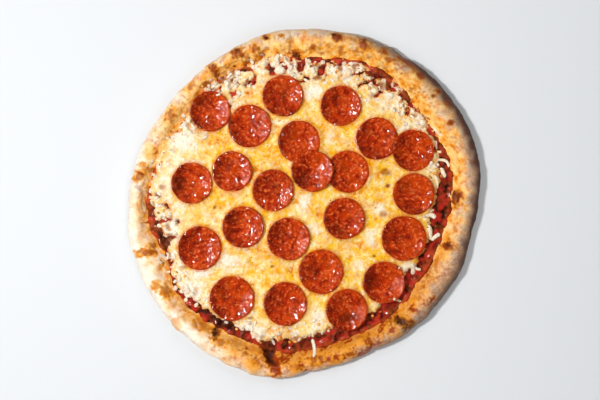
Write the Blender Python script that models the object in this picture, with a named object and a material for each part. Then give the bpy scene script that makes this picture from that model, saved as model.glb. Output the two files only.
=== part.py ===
"""A pepperoni pizza, 31 cm across: a stretched dough base with a risen rim, tomato sauce, a layer of
melted cheese and 23 slices of pepperoni.

Metres, +Z up. The origin is under the middle of the pizza, on the surface that it lies on. Bearings
are in degrees, counter-clockwise from +X.
"""

import math

import bmesh
import bpy
import numpy as np
from mathutils import Vector, noise
from mathutils.bvhtree import BVHTree

MM = 0.001

# The outline of the rim: its radius at some bearings, in millimetres. The dough was stretched by
# hand, so it is wide at the right and flat at the lower right, and a fold sticks out at 257 degrees.
RIM_OUTSIDE = {
    0: 152, 10: 156.5, 25: 158, 45: 156.5, 60: 154, 70: 154.5, 84: 151.5, 98: 152, 112: 148.5,
    135: 145.5, 150: 147, 167: 151.5, 190: 155.5, 215: 156, 245: 155.5, 254: 156.5, 261: 156.5,
    265: 152.5, 269: 147.5, 280: 144, 296: 142, 307: 145, 328: 146, 337: 149.5, 346: 147,
}
# Where the toppings meet the rim.
PAN_EDGE = {
    0: 128, 14: 133, 40: 127.5, 57: 134, 70: 132, 85: 126.5, 105: 130.5, 130: 132, 147: 126,
    165: 133, 181: 138, 192: 136.5, 200: 127, 208: 133, 222: 136.5, 242: 131, 262: 132,
    285: 124.5, 318: 124, 324: 119.5, 343: 124, 354: 126,
}
# How much bare sauce shows between the cheese and the rim.
SAUCE_SHOWS = {
    0: 9, 15: 4, 45: 5, 60: 4, 85: 7, 103: 2, 130: 0.5, 160: 1, 185: 7, 195: 10, 201: 2, 212: 4,
    228: 10, 245: 8, 260: 8, 275: 11, 290: 14, 300: 13, 315: 10, 330: 11, 345: 8, 354: 11,
}
# The height of the rim's crest, which rose least where the dough is narrow.
RIM_HEIGHT = {
    0: 16.5, 30: 18, 60: 16, 90: 16.5, 125: 14, 150: 14.5, 180: 15.5, 215: 17, 248: 17.5, 270: 15,
    297: 14.5, 330: 17.5, 350: 16,
}
# Folds that cross the rim, with their depths.
FOLDS = {257.5: 4.5, 311: 2.0, 147.5: 1.5, 55: 1.3}
FOLD_HALF_WIDTH = 2.2

FOLD_PINCH = 0.35

# The crust. The shares are of the rim's width, and RIM_WIDEST_SHARE is of its height.
BASE_THICKNESS = 5.0
PAN_INSET = 2.5
RIM_FOOT_SHARE = 0.30
RIM_CREST_SHARE = 0.62
RIM_WIDEST_SHARE = 0.40
RIM_LOWER_TURNS = (35, 65, 90)
RIM_UPPER_TURNS = (28, 58, 90)
RIM_SLOPE_SHARES = (0.8, 0.6, 0.4, 0.2)
RIM_RELIEF = 1.3
RIM_RELIEF_SIZE = 21.0
RIM_CREST_WANDER = 1.5

# The layers of the topping. CHEESE_ROUND is the cut of the cheese's edge, as distances in from the
# edge and up from its underside.
GAP = 0.3
SAUCE_TOP = 7.0
SAUCE_EDGE_GAP = 0.8
SAUCE_ROUND = 0.9
CHEESE_THICKNESS = 3.0
CHEESE_RELIEF = 0.9
CHEESE_RELIEF_SIZE = 24.0
CHEESE_LOBES = 2.6
CHEESE_LOBE_SIZE = 17.0
CHEESE_LEAST_BARE = 1.2
CHEESE_ROUND = ((1.8, 0.0), (0.0, 0.7), (1.2, 1.7))
CHEESE_SHOULDER = 4.5

# Each slice of pepperoni: x and y of its middle, its diameter, and how far its rim curled up.
SLICES = {
    1: (-81.5, 79.6, 35.5, 1.7),
    2: (-47.3, 66.6, 37.5, 1.3),
    3: (-18.6, 93.1, 36.0, 1.4),
    4: (31.6, 84.4, 35.5, 1.7),
    5: (-4.6, 53.2, 37.0, 1.2),
    6: (63.1, 55.9, 37.0, 1.2),
    7: (94.6, 45.8, 36.5, 1.3),
    8: (-97.6, 17.3, 36.0, 2.5),
    9: (-62.6, 27.2, 35.5, 1.1),
    10: (-26.9, 11.0, 36.5, 1.4),
    11: (6.9, 27.8, 36.5, 1.5),
    12: (37.8, 27.3, 37.0, 1.4),
    13: (95.2, 7.9, 36.5, 1.5),
    14: (-53.1, -20.9, 36.5, 2.2),
    15: (-90.7, -39.1, 38.0, 1.6),
    16: (-13.7, -31.1, 37.5, 1.7),
    17: (34.8, -13.5, 36.5, 1.4),
    18: (86.7, -30.6, 39.5, 1.4),
    19: (14.7, -59.7, 39.0, 1.2),
    20: (69.3, -69.0, 37.0, 2.4),
    21: (-62.6, -82.7, 39.0, 1.8),
    22: (-16.5, -87.6, 38.0, 1.6),
    23: (36.9, -92.7, 36.5, 1.8),
}
# The slices that were laid down last, with the neighbours that they lie over. They bend up over a
# neighbour's rim, and the bend starts a little way before it.
LAID_OVER = {7: (6,), 11: (5, 12)}
BEND_RISE = 2.6
BEND_LENGTH = 10.0
# A slice's middle is nearly flat out to SLICE_WELL_SHARE of its radius. MOST_LEAN is in degrees.
MOST_LEAN = 1.3
SLICE_THICKNESS = 1.7
SLICE_WELL_SHARE = 0.65
SLICE_UNEVENNESS = 0.35
CUP_UNEVENNESS = 0.22

RIM_COLUMNS = 144
CHEESE_COLUMNS = 108
CHEESE_TOP_RINGS = 9
SAUCE_COLUMNS = 72
SLICE_COLUMNS = 24
PROBE_RINGS = 12
PROBE_BEARINGS = 48
SHARP_EDGE = 50

# Colour (sRGB hex) and roughness of each material.
MATERIALS = {
    "baked_dough": ("D9A35B", 0.75),
    "tomato_sauce": ("7A1D12", 0.35),
    "melted_cheese": ("F0D296", 0.45),
    "cured_pepperoni": ("A63220", 0.40),
}


class Around:
    """A length that changes smoothly with the bearing, from its values at some bearings."""

    STEP = 0.5
    EASE = 6.0

    def __init__(self, stations):
        self.bearings = np.arange(0, 360, self.STEP)
        straight = np.interp(self.bearings, list(stations), list(stations.values()), period=360)
        reach = int(self.EASE / self.STEP)
        window = np.hanning(2 * reach + 1)
        padded = np.concatenate((straight[-reach:], straight, straight[:reach]))
        self.lengths = np.convolve(padded, window / window.sum(), "valid")

    def __call__(self, bearing):
        return float(np.interp(bearing, self.bearings, self.lengths, period=360))


rim_outside = Around(RIM_OUTSIDE)
pan_edge = Around(PAN_EDGE)
sauce_shows = Around(SAUCE_SHOWS)
rim_height = Around(RIM_HEIGHT)


def relief(bearing, radius, size, layer):
    """An unevenness between about -1 and 1, with lumps of the given size. Each layer has its own."""
    turn = math.radians(bearing)
    place = Vector((radius * math.cos(turn) / size, radius * math.sin(turn) / size, layer))
    return 1.6 * noise.noise(place)


def fold_depth(bearing):
    """How far the folds press the rim down at a bearing."""
    depth = 0.0
    for middle, deepest in FOLDS.items():
        off = (bearing - middle + 180) % 360 - 180
        depth += deepest * math.exp(-((off / FOLD_HALF_WIDTH) ** 2))
    return depth


def rim_lump(bearing, radius, share):
    """The rim's blisters and hollows, full at its crest and gone below a third of its height."""
    fullness = max(0.0, 1.5 * share - 0.5)
    return RIM_RELIEF * fullness * relief(bearing, radius, RIM_RELIEF_SIZE, 9.0)


def crust_section(bearing):
    """The crust's cut at a bearing, as radii and heights from the middle of its underside, out and
    over the rim, to the middle of the pan that holds the toppings."""
    fold = fold_depth(bearing)
    outside = rim_outside(bearing) - FOLD_PINCH * fold
    floor_edge = pan_edge(bearing) - PAN_INSET
    width = outside - floor_edge
    foot = outside - RIM_FOOT_SHARE * width
    crest = floor_edge + RIM_CREST_SHARE * width
    crest += RIM_CREST_WANDER * relief(bearing, crest, RIM_RELIEF_SIZE, 4.0)
    height = rim_height(bearing) - fold
    widest = RIM_WIDEST_SHARE * height

    section = [(0.0, 0.0), (foot / 2, 0.0), (foot, 0.0)]
    for turn in RIM_LOWER_TURNS:
        out = math.sin(math.radians(turn))
        up = 1 - math.cos(math.radians(turn))
        section.append((foot + (outside - foot) * out, widest * up))
    for turn in RIM_UPPER_TURNS:
        back = 1 - math.cos(math.radians(turn))
        up = math.sin(math.radians(turn))
        section.append((outside - (outside - crest) * back, widest + (height - widest) * up))
    for share in RIM_SLOPE_SHARES:
        rise = (1 - math.cos(math.pi * share)) / 2
        radius = floor_edge + (crest - floor_edge) * share
        section.append((radius, BASE_THICKNESS + (height - BASE_THICKNESS) * rise))
    section += [(radius, BASE_THICKNESS) for radius in (floor_edge, floor_edge / 2, 0.0)]
    return [(radius, up + rim_lump(bearing, radius, up / height)) for radius, up in section]


def sauce_section(bearing):
    """The sauce's cut: a thin layer on the pan, whose edge lies against the foot of the rim."""
    edge = pan_edge(bearing) - SAUCE_EDGE_GAP
    floor_edge = edge - PAN_INSET
    bottom = BASE_THICKNESS + GAP
    section = [(0.0, bottom), (floor_edge / 2, bottom), (floor_edge, bottom)]
    section.append((edge, (bottom + SAUCE_TOP) / 2 + GAP))
    section += [(share * (edge - SAUCE_ROUND), SAUCE_TOP) for share in (1.0, 0.75, 0.5, 0.25, 0.0)]
    return section


def cheese_edge(bearing):
    """The cheese's radius at a bearing, with the lobes that it melted into."""
    lobes = CHEESE_LOBES * relief(bearing, pan_edge(0), CHEESE_LOBE_SIZE, 2.0)
    return pan_edge(bearing) - max(sauce_shows(bearing) + lobes, CHEESE_LEAST_BARE)


def cheese_top(bearing, radius):
    """The height of the cheese's lumpy top."""
    thick = CHEESE_THICKNESS + CHEESE_RELIEF * relief(bearing, radius, CHEESE_RELIEF_SIZE, 6.0)
    return SAUCE_TOP + GAP + thick


def cheese_section(bearing):
    """The cheese's cut: flat on the sauce, with a rounded edge and a lumpy top."""
    edge = cheese_edge(bearing)
    bottom = SAUCE_TOP + GAP
    section = [(0.0, bottom), (edge / 2, bottom)]
    section += [(edge - inward, bottom + up) for inward, up in CHEESE_ROUND]
    for ring in range(CHEESE_TOP_RINGS):
        radius = (edge - CHEESE_SHOULDER) * (1 - ring / CHEESE_TOP_RINGS)
        section.append((radius, cheese_top(bearing, radius)))
    section.append((0.0, cheese_top(0.0, 0.0)))
    return section


def bend(number, bearing, radius):
    """How far a slice is bent up, at a point of it, by the neighbours that it lies over."""
    x, y = SLICES[number][:2]
    turn = math.radians(bearing)
    rise = 0.0
    for neighbour in LAID_OVER.get(number, ()):
        their_x, their_y, diameter, _ = SLICES[neighbour]
        away = math.hypot(x + radius * math.cos(turn) - their_x, y + radius * math.sin(turn) - their_y)
        share = min(1.0, max(0.0, (diameter / 2 + BEND_LENGTH - away) / BEND_LENGTH))
        rise = max(rise, BEND_RISE * share * share * (3 - 2 * share))
    return rise


def slice_section(number, bearing):
    """The cut of one slice about its own middle: a disc whose rim curled up in the oven."""
    _, _, diameter, cup = SLICES[number]
    thick = SLICE_THICKNESS
    edge = diameter / 2 + SLICE_UNEVENNESS * relief(bearing, diameter / 4, 7.0, number)
    lift = cup * (1 + CUP_UNEVENNESS * relief(bearing, diameter / 4, 11.0, number + 40.0))
    well = SLICE_WELL_SHARE * edge
    section = [
        (0.0, 0.0),
        (well, 0.15 * lift),
        (edge - 0.2 * thick, 0.8 * lift),
        (edge, lift + 0.55 * thick),
        (edge - 0.5 * thick, lift + 0.95 * thick),
        (well, 0.15 * lift + thick),
        (0.0, thick),
    ]
    return [(radius, height + bend(number, bearing, radius)) for radius, height in section]


def linear(channel):
    """One sRGB channel, 0 to 1, as linear light."""
    return channel / 12.92 if channel <= 0.04045 else ((channel + 0.055) / 1.055) ** 2.4


def make_material(name):
    """The material of one kind of piece."""
    hex_colour, roughness = MATERIALS[name]
    channels = [int(hex_colour[i : i + 2], 16) / 255 for i in (0, 2, 4)]
    material = bpy.data.materials.new(name)
    material.use_nodes = True
    shader = material.node_tree.nodes["Principled BSDF"]
    shader.inputs["Base Color"].default_value = (*[linear(c) for c in channels], 1.0)
    shader.inputs["Roughness"].default_value = roughness
    shader.inputs["Metallic"].default_value = 0.0
    return material


def pressed_disc(name, columns, section, material, collection):
    """A closed round solid that starts as a ball. Each of the ball's rings, counted from the bottom,
    goes to the same point of the section at its bearing. The section is in millimetres."""
    rings = len(section(0.0)) - 1
    ball = bmesh.new()
    bmesh.ops.create_uvsphere(ball, u_segments=columns, v_segments=rings, radius=1.0)
    for vertex in ball.verts:
        down = math.acos(max(-1.0, min(1.0, vertex.co.z)))
        ring = rings - round(down / math.pi * rings)
        pole = ring in (0, rings)
        bearing = 0.0 if pole else math.degrees(math.atan2(vertex.co.y, vertex.co.x)) % 360
        radius, height = section(bearing)[ring]
        turn = math.radians(bearing)
        vertex.co = Vector((radius * math.cos(turn), radius * math.sin(turn), height)) * MM
    bmesh.ops.triangulate(ball, faces=ball.faces)
    bmesh.ops.recalc_face_normals(ball, faces=ball.faces)
    mesh = bpy.data.meshes.new(name)
    ball.to_mesh(mesh)
    ball.free()
    mesh.materials.append(material)
    mesh.shade_smooth()
    mesh.set_sharp_from_angle(angle=math.radians(SHARP_EDGE))
    disc = bpy.data.objects.new(name, mesh)
    collection.objects.link(disc)
    return disc


def surface_of(piece):
    """A piece's faces in world space, for finding heights on it."""
    corners = [piece.matrix_basis @ vertex.co for vertex in piece.data.vertices]
    return BVHTree.FromPolygons(corners, [face.vertices[:] for face in piece.data.polygons])


def come_to_rest(piece, reach, below):
    """Lets a slice down until it is a gap clear of what lies under it, which is probed at points
    all over the slice."""
    own = surface_of(piece)
    up = Vector((0.0, 0.0, 1.0))
    lift = 0.0
    for ring in range(1, PROBE_RINGS + 1):
        for step in range(PROBE_BEARINGS):
            turn = math.tau * step / PROBE_BEARINGS
            radius = reach * ring / PROBE_RINGS
            spot = Vector((math.cos(turn), math.sin(turn), 0.0)) * radius + piece.location.xy.to_3d()
            underside = own.ray_cast(spot - up, up)[0]
            if underside is None:
                continue
            for surface in below:
                top = surface.ray_cast(spot + up, -up)[0]
                if top is not None:
                    lift = max(lift, top.z - underside.z)
    piece.location.z += lift + GAP * MM


def lay_slice(number, material, collection, below):
    """One slice of pepperoni, laid on the cheese and on the slices that were there before."""

    def section(bearing):
        return slice_section(number, bearing)

    x, y, diameter, _ = SLICES[number]
    draw = np.random.default_rng(number)
    piece = pressed_disc(f"pepperoni_{number:02d}", SLICE_COLUMNS, section, material, collection)
    piece.rotation_euler = [math.radians(draw.uniform(-MOST_LEAN, MOST_LEAN)) for _ in "xy"] + [0.0]
    piece.location = (x * MM, y * MM, 0.0)
    come_to_rest(piece, diameter / 2 * MM, below)
    return piece


def build():
    """Makes the pizza's pieces from the bottom up."""
    for left_over in list(bpy.data.objects):
        bpy.data.objects.remove(left_over)
    collection = bpy.data.collections.new("pepperoni_pizza")
    bpy.context.scene.collection.children.link(collection)
    whole = bpy.data.objects.new("pepperoni_pizza", None)
    collection.objects.link(whole)

    dough, sauce_red, cheese_cream, meat = [make_material(name) for name in MATERIALS]
    crust = pressed_disc("crust", RIM_COLUMNS, crust_section, dough, collection)
    sauce = pressed_disc("sauce", SAUCE_COLUMNS, sauce_section, sauce_red, collection)
    cheese = pressed_disc("cheese", CHEESE_COLUMNS, cheese_section, cheese_cream, collection)

    below = [surface_of(cheese)]
    slices = []
    for number in sorted(SLICES, key=LAID_OVER.__contains__):
        piece = lay_slice(number, meat, collection, below)
        below.append(surface_of(piece))
        slices.append(piece)

    for piece in (crust, sauce, cheese, *slices):
        piece.parent = whole


build()
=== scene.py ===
"""The look of a pepperoni pizza, 31 cm across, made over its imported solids: the blistered crust,
the sauce, the melted cheese, 23 cupped slices of pepperoni, and the shreds and crumbs that lie
loose.

The frame is in metres, +Z up. Sizes here are in millimetres unless a name says otherwise, and
bearings are in degrees, counter-clockwise from +X. Places are seen from above.
"""

import itertools
import logging
import math
from dataclasses import dataclass
from enum import Enum

import bmesh
import bpy
import numpy as np
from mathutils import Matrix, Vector
from mathutils.bvhtree import BVHTree


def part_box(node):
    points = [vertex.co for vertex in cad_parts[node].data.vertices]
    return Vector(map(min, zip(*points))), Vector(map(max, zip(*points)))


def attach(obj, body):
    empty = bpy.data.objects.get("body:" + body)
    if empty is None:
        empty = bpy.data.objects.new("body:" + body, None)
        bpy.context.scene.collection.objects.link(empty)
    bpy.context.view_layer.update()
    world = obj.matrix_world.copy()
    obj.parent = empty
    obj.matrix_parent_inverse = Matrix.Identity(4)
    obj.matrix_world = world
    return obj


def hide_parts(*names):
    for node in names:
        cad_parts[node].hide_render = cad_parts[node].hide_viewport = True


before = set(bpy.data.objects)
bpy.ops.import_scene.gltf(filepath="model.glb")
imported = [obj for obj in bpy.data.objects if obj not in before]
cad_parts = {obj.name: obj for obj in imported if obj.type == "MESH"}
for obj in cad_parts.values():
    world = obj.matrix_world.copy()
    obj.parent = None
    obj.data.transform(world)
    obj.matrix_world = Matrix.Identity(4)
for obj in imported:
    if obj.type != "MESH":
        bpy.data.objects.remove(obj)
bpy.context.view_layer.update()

MM = 0.001
BODY = "root"
UP = Vector((0.0, 0.0, 1.0))
log = logging.getLogger("pizza")

# The height in the cheese's side at which its edge is found.
CHEESE_EDGE_HEIGHT = 8.2

# The random part of every unevenness: an order of 256 numbers, and a slope and a seed for each.
DRAW = np.random.default_rng(23)
SCRAMBLE = DRAW.permutation(256)
SLOPES = DRAW.normal(size=(256, 3))
SLOPES /= np.linalg.norm(SLOPES, axis=1, keepdims=True)
SEEDS = DRAW.random((256, 3))

# How far apart two patterns lie in the same unevenness, and what brings beads and lumps to
# between about -1 and 1.
LAYER_STEP = np.array((17.3, -9.1, 4.7))
BEAD_SWING = 1.8
LUMP_SWING = 1.9

# A row of the lists of patches is one patch: x and y of its middle, half its length, half its
# width, the bearing of its length, and its strength. First, where the oven toasted the crust,
# with one long patch along the fold at the bottom that is partly the fold's painted shade.
TOASTED = (
    (-116, 76, 4.3, 3.5, 60, 0.7), (-99, 100, 4.3, 2.6, 45, 0.6), (-86, 104, 4.3, 2.6, 20, 0.7),
    (-78, 114, 7.8, 3.0, -60, 1), (-58, 130, 5.2, 3.9, 0, 0.9), (-50, 123, 5.2, 3.0, 90, 0.8),
    (-43, 134, 3.5, 2.2, 20, 0.9), (-37, 129, 4.3, 2.6, 90, 0.7), (-42, 124, 3.5, 1.7, 0, 0.6),
    (-33, 143, 2.6, 1.9, 0, 1), (-20, 145, 2.2, 1.7, 0, 0.5), (-12, 137, 4.3, 2.6, 90, 0.6),
    (-8, 130, 5.2, 3.9, -30, 1), (-18, 126, 3.5, 2.6, 0, 0.6), (28, 144, 4.3, 3.5, 0, 1),
    (22, 137, 2.6, 2.2, 0, 0.4), (32, 133, 3.5, 2.2, 90, 0.6), (8, 135, 2.6, 2.6, 0, 0.7),
    (15, 130, 1.7, 1.3, 0, 0.6), (44, 141, 4.3, 1.7, -20, 0.5), (51, 137, 4.3, 3.9, 90, 0.9),
    (57, 135, 2.6, 2.6, 0, 0.5), (69, 131, 3.5, 2.6, -30, 0.8), (74, 124, 3.0, 2.6, 0, 0.7),
    (87, 123, 5.2, 2.2, -35, 0.8), (94, 117, 4.3, 2.2, -35, 0.6), (100, 110, 4.3, 2.2, -40, 0.8),
    (112, 93, 2.2, 1.7, 0, 0.9), (116, 97, 2.2, 2.2, 0, 0.9), (127, 70, 2.2, 1.7, 0, 0.9),
    (125, 86, 4.3, 2.6, -60, 0.5), (133, 5, 6.0, 4.2, -80, 1), (134, -1, 3.0, 2.6, 90, 0.5),
    (125, -37, 3.9, 3.9, 0, 1), (98, -82, 3.5, 2.6, 0, 0.5), (111, -84, 2.2, 1.3, 60, 0.5),
    (81, -100, 3.5, 3.5, 0, 0.9), (87, -104, 6.1, 3.5, -10, 0.8), (56, -119, 3.5, 3.0, 90, 0.8),
    (43, -126, 1.3, 1.1, 0, 1), (39, -131, 4.3, 1.7, 10, 0.8), (22, -134, 3.5, 2.6, 0, 0.5),
    (10, -136, 5.2, 3.5, 20, 0.7), (-6, -142, 5.2, 2.2, 0, 0.6), (-17, -130, 3.5, 1.7, 0, 0.4),
    (-77, -113, 5.2, 3.0, 80, 0.9), (-72, -121, 3.5, 2.6, 0, 0.6),
    (-111, -104, 5.2, 3.5, -50, 0.25), (-120, -77, 5.2, 4.3, -50, 0.6),
    (-128, -71, 3.5, 3.5, 0, 0.4), (-137, -43, 7.8, 2.6, 0, 0.8), (-144, 22, 3.5, 2.6, 0, 0.7),
    (-142, 26, 3.5, 0.8, -20, 0.9), (-140, 33, 2.6, 2.6, 0, 0.4), (-134, 29, 3.5, 2.6, 0, 0.4),
    (-132, 0, 4.3, 2.6, 90, 0.9), (-128, -5, 3.5, 2.6, 100, 0.9), (-130, -13, 3.5, 2.6, 90, 0.5),
    (-138, -17, 2.6, 0.7, 10, 0.8), (-132, -37, 2.6, 2.6, 0, 0.7), (-51, -124, 4.3, 2.6, -20, 0.35),
    # The last patch on the next line lies along the fold: partly toast, partly painted shade of the
    # fold.
    (-37, -135, 3.5, 2.6, 30, 0.4), (31, -124, 3.5, 2.2, 20, 0.35), (-29, -133, 12.0, 4.5, 111, 1),
    (-117, -52, 6.0, 5.0, 60, 0.5), (-105, -88, 9.0, 4.0, -50, 0.35),
    (-88, -104, 8.0, 4.5, -40, 0.45), (-60, -121, 7.0, 4.0, -20, 0.4),
    (-45, -127, 6.0, 4.0, 0, 0.4),
)

# Where the crust is charred. Its last row, along the fold at the bottom, is partly charring and
# partly the fold's painted shadow.
CHARRED = (
    (-74, 107, 3.5, 2.2, -40, 0.6), (-58, 131, 2.2, 1.7, 0, 0.7), (-33, 143, 1.7, 1.4, 0, 0.9),
    (-7, 129, 3.5, 2.6, -30, 0.8), (27, 145, 2.6, 1.9, 0, 0.8), (29, 141, 2.2, 1.1, 0, 0.5),
    (52, 140, 1.7, 1.7, 0, 0.5), (112, 93, 1.6, 1.3, 0, 0.5), (116, 97, 1.6, 1.3, 0, 0.5),
    (133, 6, 4.6, 2.2, -78, 0.5), (126, -37, 2.2, 2.2, 0, 0.6), (83, -103, 5.0, 3.8, -20, 1),
    (89, -107, 5.6, 3.0, 30, 0.8), (43, -126, 1.1, 1.0, 0, 0.8), (12, -135, 1.9, 1.7, 0, 0.35),
    (-78, -113, 5.0, 2.6, 85, 1), (-133, 0, 2.6, 1.7, 90, 0.35), (-50, 118, 2.6, 1.7, 90, 0.5),
    # Along the fold at the bottom: partly charring, partly the fold's painted shadow.
    (-31, -130, 12.0, 4.0, 107, 1),
)

# Where the cheese is whitest.
WHITE = (
    (-105, 55, 12.2, 8.7, 0, 0.75), (-115, 37, 17.4, 7.0, 90, 0.45),
    (-121, 11, 10.4, 7.0, 90, 0.35), (-115, -22, 12.2, 5.2, 90, 0.65), (-78, -11, 8.7, 6.1, 0, 0.4),
    (-66, -51, 11.3, 7.0, 0, 0.9), (-90, -61, 8.7, 5.2, 0, 0.8), (-98, -74, 8.7, 7.0, 90, 0.8),
    (-47, -110, 10.4, 4.3, 0, 0.7), (-1, 0, 7.0, 6.1, 0, 1), (9, -22, 6.1, 4.3, 0, 0.8),
    (7, 96, 7.8, 7.0, 0, 0.9), (-17, 119, 13.9, 5.2, 0, 0.8), (35, 117, 7.8, 6.1, 0, 0.8),
    (-66, 110, 7.0, 5.2, 0, 0.8), (-85, 100, 8.7, 3.5, 20, 0.8), (57, -30, 7.0, 4.3, 90, 0.6),
    (47, -54, 5.2, 4.3, 0, 0.6), (23, 57, 6.1, 3.5, 90, 0.8), (46, 55, 9.6, 2.6, 90, 0.8),
    (12, -100, 7.0, 7.0, 0, 0.7), (64, -6, 5.2, 4.3, 90, 0.7), (-21, 70, 8.7, 2.2, 0, 0.7),
    (-53, -40, 8.7, 2.6, -30, 0.6), (90, 64, 10.4, 3.5, 0, 0.4), (76, 94, 12.2, 7.8, -40, 0.35),
    (90, -57, 7.0, 4.3, 90, 0.6), (-30, 85, 5.2, 3.5, 90, 0.4), (-96, 35, 8.7, 2.6, 0, 0.6),
)

# Where oil lies on the cheese.
OILY = (
    (-78, 55, 11.3, 7.0, 0, 0.7), (-47, 93, 12.2, 7.0, 0, 0.6), (-30, 40, 8.7, 7.8, 0, 0.8),
    (15, 60, 10.4, 5.2, 90, 0.8), (58, 29, 13.1, 7.0, 90, 0.9), (50, 6, 7.0, 5.2, 90, 0.8),
    (52, -19, 8.7, 4.3, 90, 0.7), (12, -8, 7.0, 5.2, 0, 0.7), (6, -30, 3.5, 2.2, -30, 1),
    (15, -35, 3.5, 3.0, 0, 1), (33, -41, 4.3, 4.3, 0, 0.8), (-39, -43, 10.4, 8.7, 0, 0.7),
    (-15, -59, 13.1, 5.2, 0, 0.9), (40, -64, 3.0, 2.2, 0, 1), (46, -63, 2.6, 2.2, 0, 1),
    (-84, 9, 8.7, 3.5, 0, 0.6), (111, 37, 4.3, 2.6, 30, 0.9), (116, 27, 3.5, 3.5, 0, 0.9),
    (-34, -9, 7.0, 3.5, 90, 0.8), (-63, -77, 3.5, 2.6, 0, 0.3), (-4, 39, 5.2, 2.6, 0, 0.6),
    (-80, -32, 8.7, 2.6, 90, 0.4), (27, -110, 7.0, 4.3, 10, 0.4), (-17, -110, 7.0, 3.5, 0, 0.4),
    (83, 32, 5.2, 2.6, 0, 0.5), (42, -77, 7.0, 3.5, 0, 0.6), (-37, 30, 7.8, 4.3, 20, 0.6),
    (-51, -30, 6.1, 4.3, 90, 0.5), (69, 74, 7.0, 3.5, 0, 0.4),
)

# Where the cheese is browned.
BROWNED = (
    (66, 102, 3.9, 3.5, 0, 0.9), (59, 94, 2.6, 2.2, 0, 0.6), (79, 81, 2.2, 1.4, 90, 0.7),
    (71, 27, 3.9, 3.0, -20, 0.7), (73, 15, 2.1, 1.7, 0, 1), (68, -10, 3.0, 2.3, 0, 0.7),
    (-78, -4, 1.6, 1.6, 0, 1), (61, -46, 1.2, 1.0, 0, 1), (-28, -55, 1.4, 1.3, 0, 0.8),
    (-49, -51, 2.6, 1.4, 60, 0.35), (-70, 108, 4.3, 3.0, -30, 0.9), (-63, 112, 6.1, 2.3, 80, 0.8),
    (-64, 104, 3.9, 2.3, 80, 0.7), (-52, 103, 3.0, 2.2, 0, 0.6), (-11, 119, 4.3, 1.6, 80, 0.7),
    (10, 121, 3.5, 3.0, 0, 0.8), (11, 109, 3.5, 1.9, 0, 0.9), (31, 117, 3.5, 2.4, 90, 0.9),
    (-2, 126, 2.6, 1.7, 0, 0.7), (44, 119, 3.9, 2.1, 80, 0.8), (40, 111, 2.6, 1.4, 60, 0.5),
    (35, 108, 2.6, 1.4, 20, 0.4), (102, 84, 1.7, 1.3, 0, 0.9), (103, 74, 1.9, 1.3, 0, 1),
    (110, 74, 1.7, 1.3, 0, 0.8), (103, 66, 1.7, 1.0, 0, 1), (86, 84, 3.5, 1.4, 75, 0.7),
    (95, 76, 3.5, 1.7, 0, 0.7), (-124, 14, 3.5, 2.2, 0, 0.7), (-127, 6, 3.5, 2.3, -30, 0.9),
    (-116, -14, 2.6, 1.7, 80, 0.8), (-118, -23, 5.2, 2.2, -70, 0.8), (-94, -77, 3.5, 2.2, 80, 0.45),
    (-106, -56, 3.5, 1.7, 0, 0.5), (-27, -120, 2.6, 1.7, 0, 0.35), (-16, -120, 2.6, 2.2, 0, 0.7),
    (-7, -118, 5.2, 2.6, 0, 0.8), (-47, -100, 2.6, 1.4, 0, 0.7), (-37, -116, 2.6, 1.7, 0, 0.6),
    (92, -58, 1.9, 1.7, 0, 0.8), (94, -57, 1.4, 1.4, 0, 0.6),
)

# Where the cheese has a hole that the sauce shows through.
HOLES = (
    (-53, 117, 7.0, 2.3, -5, 1), (-3, 119, 5.2, 2.8, 80, 1), (15, 115, 4.8, 2.8, 70, 1),
    (23, 126, 7.8, 1.7, 0, 1), (28, 122, 5.2, 1.7, 0, 0.8), (64, 113, 10.4, 3.9, -8, 1),
    (74, 104, 5.7, 2.3, 80, 1), (77, 99, 3.5, 1.6, -20, 1), (87, 94, 4.8, 3.5, -45, 1),
    (93, 88, 5.2, 2.8, -55, 1), (90, 79, 3.9, 1.9, 80, 0.9), (110, 63, 4.3, 2.3, -60, 1),
    (115, 48, 4.3, 1.7, 85, 0.8), (-75, 107, 3.5, 1.7, -40, 0.8), (56, 119, 2.6, 1.7, -30, 0.8),
    (-12, 124, 3.5, 1.7, -40, 0.7),
)

# Blisters of the crust: dough bubbles that rose in the oven.
BLISTERS = (
    (121, 75, 8.5, 7.0, -60, 1.0), (-58, 130, 5.0, 4.5, 0, 0.8), (-41, 129, 6.0, 5.5, 40, 0.9),
    (-9, 130, 5.0, 4.0, 0, 0.7), (28, 144, 4.5, 3.5, 0, 0.5), (129, 7, 5.5, 4.0, -75, 0.7),
    (125, -38, 4.0, 4.0, 0, 0.5), (85, -103, 6.5, 4.5, 0, 0.6), (57, -118, 4.0, 3.5, 90, 0.5),
    (47, -122, 6.5, 4.0, 20, 0.8), (-115, 76, 6.0, 4.5, 60, 0.6), (-79, 113, 6.5, 3.5, -60, 0.6),
    (-130, -2, 6.0, 4.0, 100, 0.8), (-137, -43, 7.5, 3.5, 0, 0.6), (-110, -104, 6.0, 4.5, -50, 0.6),
    (-92, -119, 7.0, 4.5, -40, 0.5), (51, 137, 5.0, 4.5, 90, 0.6), (92, 112, 7.0, 4.5, -40, 0.6),
    (-20, 138, 6.5, 5.0, 0, 0.5), (8, 139, 6.0, 5.0, 0, 0.5), (-136, 40, 7.0, 5.0, 80, 0.5),
    (108, 84, 6.0, 4.0, -50, 0.5), (66, 125, 6.0, 4.0, -30, 0.5), (-100, 92, 8.0, 5.0, 45, 0.5),
)
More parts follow.
